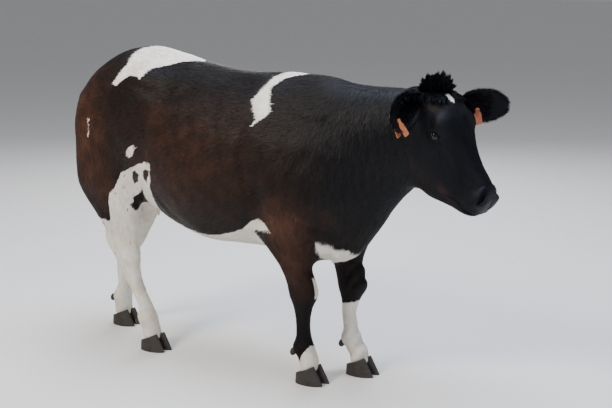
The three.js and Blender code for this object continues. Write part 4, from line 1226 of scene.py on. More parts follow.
# ------------------------------------------------------------------ feet and eyes
def claw_rings(leg, hand, rows=16, around=44):
    """Rings of one claw: an oval pinched at the toe, whose wall leans back and whose top slopes from toe to
    heel, with faint growth rings; hand is 1 for the claw on the foot's left."""
    loft, body_side = LEGS[leg]
    _, rear, inner, outer, _ = (float(c) for c in loft["at"](0))
    rear, centre = rear - CLAW["behind"], body_side * (inner + outer) / 2
    turn = np.linspace(0, 2 * math.pi, around, endpoint=False)[None, :]
    rise = np.concatenate([[0, 0.0, 0.03], np.linspace(0.07, 1, rows - 3)])[:, None]
    ease = np.concatenate([[0.93, 0.965, 0.995], np.ones(rows - 3)])[:, None]
    ease = ease + 0.006 * np.sin(rise * 46) * (rise > 0.06)
    toe = np.cos(turn)
    long = CLAW["length"] / 2 * (1 - 0.16 * rise) * ease
    flat = np.where(np.sin(turn) * hand < 0, 0.86, 1)
    wide = CLAW["width"] / 2 * (1 - 0.12 * rise) * (1 - 0.3 * np.maximum(toe, 0) ** 2) * flat * ease
    z = rise * (CLAW["heel"] + (CLAW["wall"] - CLAW["heel"]) * (toe + 1) / 2)
    x = rear + CLAW["length"] / 2 + toe * long - z * CLAW["lean"] * (0.55 + 0.25 * toe)
    middle = centre + hand * (CLAW["width"] / 2 + CLAW["apart"])
    y = middle + np.sin(turn) * wide - hand * 5 * np.maximum(toe, 0) ** 2
    return np.stack([x, y, z + 0 * x], -1)


def dewclaw_rings(leg, hand, rows=14, around=22):
    """Rings of a dewclaw: a blunt cone with a rounded end, tilted back."""
    loft, body_side = LEGS[leg]
    _, rear, inner, outer, _ = (float(c) for c in loft["at"](DEWCLAW["height"]))
    lift = np.linspace(0.12, math.pi - 0.12, rows)[:, None]
    turn = np.linspace(0, 2 * math.pi, around, endpoint=False)[None, :]
    radius = DEWCLAW["radius"] * np.sin(lift) ** 0.8
    p = np.stack([radius * np.cos(turn), 0.85 * radius * np.sin(turn),
                  DEWCLAW["length"] / 2 * np.cos(lift) + 0 * turn], -1)
    tilt = math.radians(24)
    x = p[..., 0] * math.cos(tilt) + p[..., 2] * math.sin(tilt)
    z = -p[..., 0] * math.sin(tilt) + p[..., 2] * math.cos(tilt)
    return np.stack([x + rear + 3, p[..., 1] + body_side * (inner + outer) / 2 + hand * DEWCLAW["apart"],
                     z + DEWCLAW["height"]], -1)


def eyeball(hand, rows=40, around=48):
    """Rings of an eyeball from its front to its back, with the cornea's swell of 1.3 mm, and each vertex's
    place across the iris: along the lids, up, and the cosine from the eye's axis."""
    axis, long = from_face(EYE_OUT, hand), from_face(EYE_LONG, hand)
    high = np.cross(long, axis)
    tilt = np.linspace(0.02, math.pi - 0.02, rows)[:, None]
    turn = np.linspace(0, 2 * math.pi, around, endpoint=False)[None, :]
    radius = EYE_RADIUS + 1.3 * np.exp(-((tilt / 0.55) ** 4)) + 0 * turn
    along, up, out = np.sin(tilt) * np.cos(turn), np.sin(tilt) * np.sin(turn), np.cos(tilt) + 0 * turn
    at = from_head(EYE_AT[0], EYE_AT[1] * hand, EYE_AT[2])
    ring = at + radius[..., None] * (along[..., None] * long + up[..., None] * high + out[..., None] * axis)
    return ring, np.stack([along * EYE_RADIUS, up * EYE_RADIUS, out], -1)


def on_lid(hand, along, high, lift):
    """Points of the lids' edge: so far along the lids and up, on a ball of the eye's radius plus lift, and
    the eye's own directions along the lids, up and out."""
    long, high_way, out_way = (from_face(way, hand) for way in (EYE_LONG, EYE_HIGH, EYE_OUT))
    out = np.sqrt(np.maximum((EYE_RADIUS + lift) ** 2 - along**2 - high**2, 0))
    at = from_head(EYE_AT[0], EYE_AT[1] * hand, EYE_AT[2])
    return (at + along[:, None] * long + high[:, None] * high_way
            + out[:, None] * out_way), long, high_way, out_way


def lid_margin(hand, rows=60, around=10):
    """Rings of the lower lid's wet edge: a thin tube along the opening's lower curve, thickest
    in its middle."""
    along = np.linspace(-16.5, 19.0, rows)
    centre, _, high_way, out_way = on_lid(hand, along, lid_edges(along)[1] + 0.3, 0.9)
    turn = np.linspace(0, 2 * math.pi, around, endpoint=False)[None, :, None]
    radius = (0.15 + 0.45 * np.sin(math.pi * np.linspace(0, 1, rows)) ** 0.7)[:, None, None]
    return centre[:, None] + radius * (np.cos(turn) * out_way + np.sin(turn) * high_way)


def lashes(hand, count, rng):
    """Roots and tips of the upper lashes, which leave the lid's edge outwards and bend down and back."""
    along = rng.uniform(-15, 17, count)
    root, long, high_way, out_way = on_lid(hand, along, lid_edges(along)[0] + 0.8, 1.6)
    way = out_way * 0.9 - high_way * rng.uniform(0.0, 0.5, count)[:, None] + long * (0.02 * along)[:, None]
    return root, root + unit(way) * rng.uniform(7, 13, count)[:, None]


# ------------------------------------------------------------------ materials
def linear(hex_colour):
    """An sRGB hex colour such as "#a0b0c0" as linear red, green, blue and alpha."""
    parts = [int(hex_colour[i:i + 2], 16) / 255 for i in (1, 3, 5)]
    return tuple(c / 12.92 if c <= 0.04045 else ((c + 0.055) / 1.055) ** 2.4 for c in parts) + (1.0,)


def node(tree, kind, inputs=None, **settings):
    """Adds a node, sets its settings, and gives each of its inputs a number, a colour or a
    link from a socket."""
    made = tree.nodes.new(kind)
    for key, value in settings.items():
        setattr(made, key, value)
    for key, value in (inputs or {}).items():
        if isinstance(value, bpy.types.NodeSocket):
            tree.links.new(value, made.inputs[key])
        else:
            made.inputs[key].default_value = value
    return made


def new_material(name):
    """An empty material with its output and shader. Returns it, its tree and the shader."""
    material = bpy.data.materials.new(name)
    material.use_nodes = True
    tree = material.node_tree
    tree.nodes.clear()
    shader = tree.nodes.new("ShaderNodeBsdfPrincipled")
    output = tree.nodes.new("ShaderNodeOutputMaterial")
    tree.links.new(shader.outputs[0], output.inputs["Surface"])
    return material, tree, shader


def mixed(tree, factor, a, b, blend="MIX"):
    """The colour between a and b by factor."""
    return node(tree, "ShaderNodeMix", {0: factor, 6: a, 7: b}, data_type="RGBA", blend_type=blend).outputs[2]


def sums(tree, operation, *values):
    """A Math node's result."""
    return node(tree, "ShaderNodeMath", dict(enumerate(values)), operation=operation).outputs[0]


def between(tree, value, low, high, to_low=0.0, to_high=1.0):
    """A value carried from one range to another, held at its ends."""
    return node(tree, "ShaderNodeMapRange", {0: value, 1: low, 2: high, 3: to_low, 4: to_high}).outputs[0]


def noise(tree, where, size_mm, detail=2.0, rough=0.5):
    """Noise whose features are about size_mm across; the coordinates are metres."""
    return node(tree, "ShaderNodeTexNoise", {"Vector": where, "Scale": 1000.0 / size_mm, "Detail": detail,
                                             "Roughness": rough}).outputs["Fac"]


def stretched(tree, where, turn, scale):
    """Coordinates turned about the y axis and scaled, so that a pattern runs along the hair."""
    return node(tree, "ShaderNodeMapping", {"Vector": where, "Rotation": (0, turn, 0),
                                            "Scale": scale}).outputs[0]


def hide(name, colours, on_tufts):
    """Cattle hide with its short flat coat, or the coat's tufts alone. The black hair is a warm near-black
    that fades to rust-brown where it is sun-bleached and turns blue-black towards the face; white hair is
    creamy; the nose is damp slate-grey skin. Tufts and skin read the same marks, so the two agree at every
    edge."""
    material, tree, shader = new_material(name)
    where = node(tree, "ShaderNodeTexCoord").outputs["Object"]
    marks = node(tree, "ShaderNodeAttribute", attribute_name="Marks")
    parts = node(tree, "ShaderNodeSeparateXYZ", {0: marks.outputs["Vector"]})
    white, warm, bare = parts.outputs[0], parts.outputs[1], parts.outputs[2]
    patchy = noise(tree, where, 70, 3)
    fine = noise(tree, stretched(tree, where, 0.35, (0.22, 1, 1)), 5, 2)
    streak = fine
    if on_tufts:
        streak = node(tree, "ShaderNodeAttribute", attribute_name="Shade").outputs["Fac"]
    cool = node(tree, "ShaderNodeAttribute", attribute_name="Cool").outputs["Fac"]
    black = mixed(tree, between(tree, streak, 0.25, 0.95),
                  mixed(tree, cool, colours["black"], colours["cool"]),
                  mixed(tree, cool, colours["black_light"], colours["cool_light"]))
    brown = mixed(tree, streak, colours["brown"], colours["brown_light"])
    warmth = sums(tree, "MULTIPLY", warm, between(tree, patchy, 0.25, 0.7, 0.55, 1.0))
    dark = mixed(tree, warmth, black, brown)
    cream = mixed(tree, between(tree, patchy, 0.35, 0.75), colours["white"], colours["cream"])
    # painted shade: white hair is darkened between its tufts on the skin, and on the tufts by their Shade,
    # which also gives random darker tufts
    light = mixed(tree, between(tree, streak, 0.0, 1.0, 0.42, 0.0), cream, colours["cream_dark"])
    edge = white if on_tufts else sums(tree, "ADD", white, between(tree, fine, 0.2, 0.8, -4.0, 4.0))
    colour = mixed(tree, between(tree, edge, -1.0, 1.0), dark, light)
    if not on_tufts:
        # pores and fine folds of the damp nose, 3 mm apart, with painted shade in the creases between them;
        # the udder's thin pink skin
        cells = node(tree, "ShaderNodeTexVoronoi", {"Vector": where, "Scale": 330.0},
                     feature="DISTANCE_TO_EDGE")
        grain = between(tree, cells.outputs["Distance"], 0.0, 0.10)
        slate = mixed(tree, between(tree, patchy, 0.3, 0.7), colours["nose"], colours["nose_light"])
        # painted shade: the slate darkens at the cells' edges, in the creases
        slate = mixed(tree, between(tree, grain, 0, 1, 0.5, 0.0), slate, colours["nose_dark"])
        is_bare = between(tree, sums(tree, "ADD", bare, between(tree, fine, 0.2, 0.8, -3.0, 3.0)), -1.5, 1.5)
        colour = mixed(tree, is_bare, colour, slate)
        udder = node(tree, "ShaderNodeAttribute", attribute_name="Udder").outputs["Fac"]
        pink = mixed(tree, between(tree, patchy, 0.3, 0.7), colours["udder"], colours["udder_light"])
        colour = mixed(tree, between(tree, udder, -8, 6, 0.0, 0.55), colour, pink)
        rough = between(tree, is_bare, 0, 1, 0.6, 0.45)
        # hair 4.5 mm across its clumps, along the back on the trunk and upright on the neck and legs
        upright = node(tree, "ShaderNodeAttribute", attribute_name="Upright").outputs["Fac"]
        level = noise(tree, stretched(tree, where, 0.35, (0.18, 1, 1)), 4.5, 3, 0.6)
        plumb = noise(tree, stretched(tree, where, 0.1, (1, 1, 0.18)), 4.5, 3, 0.6)
        hair = node(tree, "ShaderNodeMix", {0: upright, 2: level, 3: plumb}, data_type="FLOAT").outputs[0]
        ripple = noise(tree, stretched(tree, where, 0.1, (1, 1, 0.25)), 20, 1)
        relief = sums(tree, "ADD", sums(tree, "MULTIPLY", hair, 0.6), sums(tree, "MULTIPLY", ripple, 0.8))
        relief = node(tree, "ShaderNodeMix", {0: is_bare, 2: relief, 3: grain}, data_type="FLOAT").outputs[0]
        bump = node(tree, "ShaderNodeBump", {"Height": relief, "Strength": 0.55, "Distance": 0.0016})
        tree.links.new(bump.outputs[0], shader.inputs["Normal"])
    else:
        tip = node(tree, "ShaderNodeAttribute", attribute_name="Tip").outputs["Fac"]
        hair = noise(tree, where, 2.2, 2)
        # painted sheen: a faint bluish colour is added towards the tips of black hair
        lifted = mixed(tree, between(tree, tip, 0.2, 1.0, 0.0, 0.3), colour, colours["tip"], "ADD")
        colour = mixed(tree, between(tree, white, -1.0, 1.0), lifted, colour)
        bump = node(tree, "ShaderNodeBump", {"Height": hair, "Strength": 0.3, "Distance": 0.0006})
        tree.links.new(bump.outputs[0], shader.inputs["Normal"])
    tree.links.new(colour, shader.inputs["Base Color"])
    if on_tufts:
        shader.inputs["Roughness"].default_value = 0.46
    else:
        tree.links.new(rough, shader.inputs["Roughness"])
    shader.inputs["Specular IOR Level"].default_value = 0.13
    shader.inputs["Sheen Weight"].default_value = 0.015
    shader.inputs["Sheen Roughness"].default_value = 0.4
    shader.inputs["Sheen Tint"].default_value = linear("#b9c6dc")
    return material


def eye_material():
    """A wet eyeball under its clear cornea: a level oval pupil, a dark brown fibrous iris and
    a muddy white."""
    material, tree, shader = new_material("wet eyeball with clear cornea")
    place_on = node(tree, "ShaderNodeAttribute", attribute_name="Iris")
    parts = node(tree, "ShaderNodeSeparateXYZ", {0: place_on.outputs["Vector"]})

    def oval(wide, high):
        """The sum of the two shares of an oval's half axes, squared: 1 on its edge."""
        return sums(tree, "ADD", *(sums(tree, "POWER",
                                        sums(tree, "DIVIDE", sums(tree, "ABSOLUTE", part), half), 2.0)
                                   for part, half in zip(parts.outputs, (wide, high))))

    fibres = noise(tree, place_on.outputs["Vector"], 1200, 3)
    iris = mixed(tree, fibres, linear("#0b0706"), linear("#1a100a"))
    pupil = between(tree, oval(8.6, 4.6), 0.85, 1.15)
    colour = mixed(tree, pupil, linear("#050506"), iris)
    colour = mixed(tree, between(tree, oval(15.5, 14.0), 0.92, 1.1), colour, linear("#15100e"))
    tree.links.new(colour, shader.inputs["Base Color"])
    shader.inputs["Roughness"].default_value = 0.16
    shader.inputs["Specular IOR Level"].default_value = 0.15
    shader.inputs["Coat Weight"].default_value = 0.25
    shader.inputs["Coat Roughness"].default_value = 0.06
    return material


def margin_material():
    """The wet, hairless edge of a lid: greyish-pink skin, made pale as a painted highlight along the lower
    lid, whose gloss also catches a thin line of real light.
    """
    material, tree, shader = new_material("lid margin, wet skin")
    where = node(tree, "ShaderNodeTexCoord").outputs["Object"]
    # painted highlight: the margin's grey-pink is pale so that it reads as a line of light, as well as the
    # lid's own skin tone
    tint = mixed(tree, between(tree, noise(tree, where, 4, 2), 0.35, 0.7), linear("#423a38"),
                 linear("#5a504d"))
    tree.links.new(tint, shader.inputs["Base Color"])
    shader.inputs["Roughness"].default_value = 0.2
    shader.inputs["Coat Weight"].default_value = 0.6
    return material


def horn_material(colour, pale):
    """Hoof horn, grown in rings and scuffed by the ground: grey-brown, with painted shade in the grooves
    between its rings.
    """
    material, tree, shader = new_material("hoof horn, grown in rings and scuffed")
    where = node(tree, "ShaderNodeTexCoord").outputs["Object"]
    rings = noise(tree, stretched(tree, where, 0.35, (0.12, 0.12, 1)), 5, 2)
    scuffs = noise(tree, where, 22, 4, 0.65)
    base = mixed(tree, between(tree, scuffs, 0.35, 0.7), colour, pale)
    # painted shade: the horn darkens where its rings' bump is low, in the grooves
    base = mixed(tree, between(tree, rings, 0.3, 0.7, 0.35, 0.0), base, linear("#1c1917"))
    tree.links.new(base, shader.inputs["Base Color"])
    tree.links.new(between(tree, scuffs, 0.3, 0.7, 0.5, 0.75), shader.inputs["Roughness"])
    bump = node(tree, "ShaderNodeBump", {"Height": sums(tree, "ADD", rings, scuffs), "Strength": 0.6,
                                         "Distance": 0.0012})
    tree.links.new(bump.outputs[0], shader.inputs["Normal"])
    return material


def tag_material(colour, worn):
    """Soft polyurethane ear tag, moulded and weathered: matt, chalky in patches, with fine dirt."""
    material, tree, shader = new_material("polyurethane tag, moulded and weathered")
    where = node(tree, "ShaderNodeTexCoord").outputs["Object"]
    chalk = noise(tree, where, 14, 4, 0.6)
    dirt = noise(tree, where, 3, 3, 0.6)
    base = mixed(tree, between(tree, chalk, 0.45, 0.75, 0.0, 0.7), colour, worn)
    base = mixed(tree, between(tree, dirt, 0.6, 0.8, 0.0, 0.4), base, linear("#6e4a34"))
    tree.links.new(base, shader.inputs["Base Color"])
    tree.links.new(between(tree, chalk, 0.3, 0.7, 0.42, 0.6), shader.inputs["Roughness"])
    bump = node(tree, "ShaderNodeBump", {"Height": dirt, "Strength": 0.25, "Distance": 0.0004})
    tree.links.new(bump.outputs[0], shader.inputs["Normal"])
    return material


# ------------------------------------------------------------------ settings
def colour_property(name, description, hex_colour):
    """A colour a user would change, as linear RGBA."""
    return bpy.props.FloatVectorProperty(name=name, description=description, default=linear(hex_colour),
                                         subtype="COLOR", size=4, min=0, max=1)


class CowColours(bpy.types.PropertyGroup):
    """Colours of the coat, skin, feet and tags."""
    black: colour_property("Black hair", "Black coat in shade", "#0b0908")
    black_light: colour_property("Black hair, light", "Black coat's paler hairs", "#181310")
    cool: colour_property("Face hair", "Black coat of the face and neck in shade", "#07080c")
    cool_light: colour_property("Face hair, light", "Its paler hairs", "#0e1017")
    brown: colour_property("Brown hair", "Sun-bleached black hair", "#3a241a")
    brown_light: colour_property("Brown hair, light", "Its paler hairs", "#5c3a29")
    # painted bluish sheen, added towards the tips of black hair
    tip: colour_property("Hair tips", "Added at the tips of black hair", "#0a0b0f")
    white: colour_property("White hair", "White coat", "#efede6")
    cream: colour_property("Cream hair", "White coat where it is soiled", "#dcd3c2")
    # painted shade that falls between the white coat's tufts, also used for random darker tufts
    cream_dark: colour_property("Cream hair, dark", "White coat between its tufts", "#b9ab95")
    nose: colour_property("Nose", "Damp skin of the muzzle", "#0d0e12")
    nose_light: colour_property("Nose, light", "Its paler patches", "#181b22")
    # painted shade in the nose's creases
    nose_dark: colour_property("Nose, dark", "Its creases", "#08080a")
    udder: colour_property("Udder", "Thin pink skin", "#c09c85")
    udder_light: colour_property("Udder, light", "Its paler patches", "#d3b8a2")
    horn: colour_property("Horn", "Hoof wall", "#191614")
    horn_pale: colour_property("Horn, pale", "Hoof wall where scuffed", "#37322d")
    tag: colour_property("Tag", "Ear tag plastic", "#b5623a")
    tag_worn: colour_property("Tag, worn", "Chalked tag plastic", "#c98a66")
    floor: colour_property("Floor", "Studio floor", "#d9d8d5")


class CowSizes(bpy.types.PropertyGroup):
    """Sizes of the skin's mesh and of the coat."""
    mesh_size: bpy.props.FloatProperty(name="Skin mesh", description="Width of the skin's faces on the trunk",
                                       default=0.0112, min=0.008, max=0.03, unit="LENGTH", precision=4)
    coat_amount: bpy.props.FloatProperty(name="Coat density",
                                         description="Tufts, as a share of the full coat",
                                         default=1.0, min=0.05, max=1.5, subtype="FACTOR")
    lens: bpy.props.FloatProperty(name="Lens", description="Camera's focal length in millimetres",
                                  default=76.47,
                                  min=20, max=200)
    camera_at: bpy.props.FloatVectorProperty(name="Camera", description="Where the camera stands",
                                             default=(3.1252, -4.1299, 1.606), subtype="TRANSLATION",
                                             unit="LENGTH")
    camera_turn: bpy.props.FloatProperty(name="Camera turn",
                                         description="Left from straight along the y axis",
                                         default=math.radians(35.4), subtype="ANGLE")
    camera_pitch: bpy.props.FloatProperty(name="Camera pitch", description="Below the horizon",
                                          default=math.radians(10.26), subtype="ANGLE")


def colours_of(scene):
    """The settings' colours as tuples."""
    group = scene.cow_colours
    return {key: tuple(getattr(group, key)) for key in CowColours.__annotations__}


def coat_material(scene):
    """The coat's one material, made when it is first asked for."""
    name = "cow hair, short, in tufts"
    return bpy.data.materials.get(name) or hide(name, colours_of(scene), True)


# ------------------------------------------------------------------ operators
FLESH = (["trunk", "neck", "head", "lower_jaw", "muzzle", "ear_left", "ear_right", "udder", "tail"]
         + [f"{end}_{side}_{part}" for end in ("fore", "hind") for side in ("left", "right")
            for part in ("upper", "lower")])
EAR_PART, TAIL_PART, TEAT_PART = 1.0, 2.0, 3.0


class COW_OT_skin(bpy.types.Operator):
    """One skin over the body, with the ears, tail and teats grown into it"""
    bl_idname = "cow.skin"
    bl_label = "Skin"

    def execute(self, context):
        verts, quads, groups = body_skin(context.scene.cow_sizes.mesh_size / MM)
        body = len(verts)
        tail, _, _ = path_rings(TAIL_PATH, tail_radius, 70, 20)
        teats = []
        for along in (-1, 1):
            for hand in (-1, 1):
                at = np.array([UDDER_AT[0] + along * TEAT["spread"][0], hand * TEAT["spread"][1],
                               UDDER_AT[2] - UDDER_RADII[2] * 0.72 - TEAT["length"] / 2])
                teats.append(ball_rings(at, (TEAT["radius"], TEAT["radius"], TEAT["length"] * 0.95), 12, 14,
                                        0.15))
        ears = [ear_surface(ear) for ear in EARS.values()]
        kinds = [EAR_PART] * 2 + [TAIL_PART] + [TEAT_PART] * 4
        part = np.zeros(body)
        added, more4, more3 = joined([*ears, tail, *teats])
        for rings, kind in zip([*ears, tail, *teats], kinds):
            part = np.concatenate([part, np.full(rings.shape[0] * rings.shape[1] + 2, kind)])
        verts = np.concatenate([verts, added])
        metres = np.clip(to_frame(verts), np.array(CAD_BOX[0]) + 0.0008, np.array(CAD_BOX[1]) - 0.0008)
        mesh = make_mesh("skin", metres, [quads, more4 + body, more3 + body, *groups])
        white, warm, bare, udder = markings(verts)
        udder = np.where(part == TEAT_PART, 12, udder)
        bare = np.where(part > 0, -50, bare)
        write_attribute(mesh, "Marks", np.stack([white, warm, bare], 1))
        write_attribute(mesh, "Udder", udder)
        write_attribute(mesh, "Part", part)
        write_attribute(mesh, "Cool", coolness(verts))
        on_face, on_leg = part_weights(verts)
        write_attribute(mesh, "Upright", np.maximum(ramp(430, 620, verts[:, 0]) * (1 - on_face), on_leg))
        material = hide("cow hide, short flat hair", colours_of(context.scene), False)
        place("skin", mesh, material, FLESH)
        return {"FINISHED"}


def skin_arrays(mesh):
    """The skin's vertices in station mm, its triangles, normals, and which part each vertex belongs to."""
    mesh.calc_loop_triangles()
    points = np.empty(len(mesh.vertices) * 3, np.float32)
    mesh.vertices.foreach_get("co", points)
    tris = np.empty(len(mesh.loop_triangles) * 3, np.int32)
    mesh.loop_triangles.foreach_get("vertices", tris)
    normals = np.empty(len(mesh.vertices) * 3, np.float32)
    mesh.vertex_normals.foreach_get("vector", normals)
    part = np.empty(len(mesh.vertices), np.float32)
    mesh.attributes["Part"].data.foreach_get("value", part)
    verts = points.reshape(-1, 3).astype(float) / MM + np.array([MIDDLE, 0, 0])
    return verts, tris.reshape(-1, 3), normals.reshape(-1, 3).astype(float), part


def coat_regions(p):
    """Which coat piece each root belongs to: 0 rump, 2 shoulders, 4 neck, 6 head, 8 fore legs, 10 hind
    legs; and one more on the left side."""
    on_face, on_leg = part_weights(p)
    region = np.where(p[:, 0] < 20, 0, 2)
    region = np.where(p[:, 0] > 600, 4, region)
    region = np.where(on_face > 0.5, 6, region)
    region = np.where((on_leg > 0.5) & (p[:, 2] < 800), np.where(p[:, 0] > 0, 8, 10), region)
    return region + (p[:, 1] > 0)


class COW_OT_coat(bpy.types.Operator):
    """The short coat: closed tufts scattered over the skin and laid along it, in one mesh for each region"""
    bl_idname = "cow.coat"
    bl_label = "Coat"

    def execute(self, context):
        material = coat_material(context.scene)
        verts, tris, normals, part = skin_arrays(bpy.data.objects["skin"].data)
        body = tris[(part[tris] == 0).all(1)]
        count = coat_size(verts)[3] * context.scene.cow_sizes.coat_amount
        _, _, bare, udder = markings(verts)
        opening = eye_opening(*eye_axes(*on_head(verts))[:2])
        lids = (verts[:, 0] > HEAD_FROM) & (eye_distance(verts) < 40) & (opening < 8.5)
        count = np.where((bare > -2) | (udder > -4) | lids, 0, count)
        roots, normal = scattered(verts, body, normals, count, 41)
        above = roots[:, 2] > HOOF_TOP
        roots, normal = roots[above], normal[above]
        region = coat_regions(roots)
        pieces = [("coat_rump", 1, trunk_unwrap), ("coat_shoulder", 1, trunk_unwrap),
                  ("coat_neck", 2, trunk_unwrap),
                  ("coat_head", 1, head_unwrap), ("coat_fore_leg", 1, leg_unwrap),
                  ("coat_hind_leg", 1, leg_unwrap)]
        for k, (name, rows, unwrap) in enumerate(pieces):
            for left, hand in enumerate(("right", "left")):
                chosen = region == 2 * k + left
                flat_tufts(f"{name}_{hand}", roots[chosen], normal[chosen], rows, material,
                           unwrap(roots[chosen]), 50 + 2 * k + left)
        return {"FINISHED"}


class COW_OT_locks(bpy.types.Operator):
    """Longer hair: the tuft on the poll, the ears' hair and fringe, the tail's hair and its switch"""
    bl_idname = "cow.locks"
    bl_label = "Locks"

    def execute(self, context):
        material = coat_material(context.scene)
        rng = np.random.default_rng(71)
        root, tip = poll_locks(4200, rng)
        span = np.linalg.norm(tip - root, axis=1)[:, None]
        over = span * (0.10 * unit((tip - TUFT_AT) * [1, 1, 0]) + [0, 0, 0.10])
        lock_piece("poll_locks", root, tip, over, rng.uniform(-0.14, 0.14, len(root)),
                   rng.uniform(1.8, 3.8, len(root)), 4, material, root[:, :2], 72, ["poll_tuft"])
        root, tip, over = skirt_locks(2800, rng)
        lock_piece("forelock", root, tip, over, rng.uniform(-0.2, 0.2, len(root)),
                   rng.uniform(1.4, 2.8, len(root)), 3,
                   material, root[:, :2], 90)
        for k, (name, ear) in enumerate(EARS.items()):
            root, tip, places = ear_locks(ear, 1500, rng)
            lock_piece(f"ear_fringe_{name}", root, tip, np.zeros_like(root),
                       rng.uniform(-0.12, 0.12, len(root)),
                       rng.uniform(1.2, 2.3, len(root)), 2, material, places, 73 + k)
            verts, tris, normals = tube_surface(ear_surface(ear))
            roots, normal = scattered(verts, tris, normals, np.full(len(verts), 0.12), 75 + k)
            along = ear_frame(ear)[1]
            way = unit(along - normal * (normal @ along)[:, None])
            sizes = (np.full(len(roots), 13.0), np.full(len(roots), 2.4), np.full(len(roots), 1.9))
            places = np.stack([(roots - ear_frame(ear)[0]) @ along,
                               (roots - ear_frame(ear)[0]) @ ear_frame(ear)[2]
                               + 150 * ((normal @ ear_frame(ear)[3]) > 0)], 1)
            flat_tufts(f"coat_ear_{name}", roots, normal, 1, material, places, 77 + 2 * k, False, sizes,
                       way)
        self.tail(material, rng)
        return {"FINISHED"}

    def tail(self, material, rng):
        """Short hair down the tail, and the switch's long locks, which follow its path at their
        own distance."""
        rings, centre, tangent = path_rings(TAIL_PATH, tail_radius, 70, 20)
        verts, tris, normals = tube_surface(rings)
        roots, normal = scattered(verts, tris, normals, np.full(len(verts), 0.045), 81)
        nearest = ((roots[:, None] - centre[None]) ** 2).sum(2).argmin(1)
        way = unit(tangent[nearest] - normal * (tangent[nearest] * normal).sum(1, keepdims=True))
        low = ramp(35, 60, nearest.astype(float))
        sizes = (24 + 16 * low, 3.6 + 0.8 * low, 3.0 + 1.5 * low)
        turn = np.arctan2(normal[:, 1], normal[:, 0])
        flat_tufts("coat_tail", roots, normal, 2, material, np.stack([nearest * 10.0, turn * 60], 1), 82,
                   False, sizes, way)
        count, rows = 1100, 5
        start = rng.uniform(0, 0.5, count)
        end = np.clip(start + rng.uniform(0.35, 0.7, count), 0, 1)
        turn, out = rng.uniform(0, 2 * math.pi, count), np.sqrt(rng.uniform(0.02, 1, count))
        rings, centre, _ = path_rings(SWITCH_PATH, lambda v: 0 * v + 1, 80, 6)
        v = start[:, None] + (end - start)[:, None] * np.linspace(0, 1, rows + 1)[None]
        index = (v * 79).astype(int)
        radius = (SWITCH_RADIUS - 4) * np.sin(math.pi * np.clip(0.12 + v, 0, 0.97)) ** 0.8
        spread = out[:, None] * radius
        line = centre[index] + np.stack([spread * np.cos(turn)[:, None], spread * np.sin(turn)[:, None],
                                         0 * spread], -1)
        line[:, 0] += (centre[index[:, 0]] - line[:, 0]) * 0.6
        way = unit(line[:, -1] - line[:, 0])
        side = unit(np.cross(way, rng.normal(size=way.shape)))
        half = rng.uniform(1.6, 3.2, count)[:, None] * np.array([0.8, 1.0, 0.85, 0.6, 0.35])[None]
        coat_piece("switch_locks", line[:, 0], line, side[:, None], np.cross(way, side)[:, None], half,
                   half * 0.7,
                   np.stack([line[:, 0, 2], turn * 30], 1), material, 83, ["tail_switch"])


class COW_OT_eyes(bpy.types.Operator):
    """Two eyeballs with their corneas, set in the lids, the lower lids' wet margins and the upper lashes"""
    bl_idname = "cow.eyes"
    bl_label = "Eyes"

    def execute(self, context):
        material = eye_material()
        for name, hand in (("left", 1), ("right", -1)):
            rings, iris = eyeball(hand)
            mesh = place_rings(f"eyeball_{name}", [rings], material, [f"eye_{name}"])
            write_attribute(mesh, "Iris", np.concatenate([iris.reshape(-1, 3), [[0, 0, 1.0]],
                                                          [[0, 0, -1.0]]]))
        # the margins' pale colour is a painted highlight along the lower lids
        place_rings("lid_margins", [lid_margin(hand) for hand in (-1, 1)], margin_material())
        rng = np.random.default_rng(95)
        root, tip = (np.concatenate(ends) for ends in zip(lashes(1, 70, rng), lashes(-1, 70, rng)))
        lock_piece("lashes", root, tip, (tip - root) * [0, 0, 0.2], rng.uniform(-0.05, 0.05, len(root)),
                   rng.uniform(0.6, 1.0, len(root)), 2, coat_material(context.scene),
                   root[:, :2], 96)
        return {"FINISHED"}


class COW_OT_feet(bpy.types.Operator):
    """The cloven hooves' claws and the dewclaws behind them"""
    bl_idname = "cow.feet"
    bl_label = "Feet"

    def execute(self, context):
        colours = colours_of(context.scene)
        material = horn_material(colours["horn"], colours["horn_pale"])
        hands = {"left": 1, "right": -1}
        for leg in LEGS:
            for kind, rings in (("claw", claw_rings), ("dewclaw", dewclaw_rings)):
                place_rings(f"{kind}s_{leg}", [rings(leg, hand) for hand in hands.values()], material,
                            [f"{leg}_{kind}_{hand}" for hand in hands])
        return {"FINISHED"}


class COW_OT_tags(bpy.types.Operator):
    """Gives the ear tags their plastic"""
    bl_idname = "cow.tags"
    bl_label = "Ear tags"

    def execute(self, context):
        colours = colours_of(context.scene)
        material = tag_material(colours["tag"], colours["tag_worn"])
        for name in ("tag_left_front", "tag_left_back", "tag_right_front", "tag_right_back"):
            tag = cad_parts[name]
            for slot in tag.material_slots:
                slot.material = material
        return {"FINISHED"}


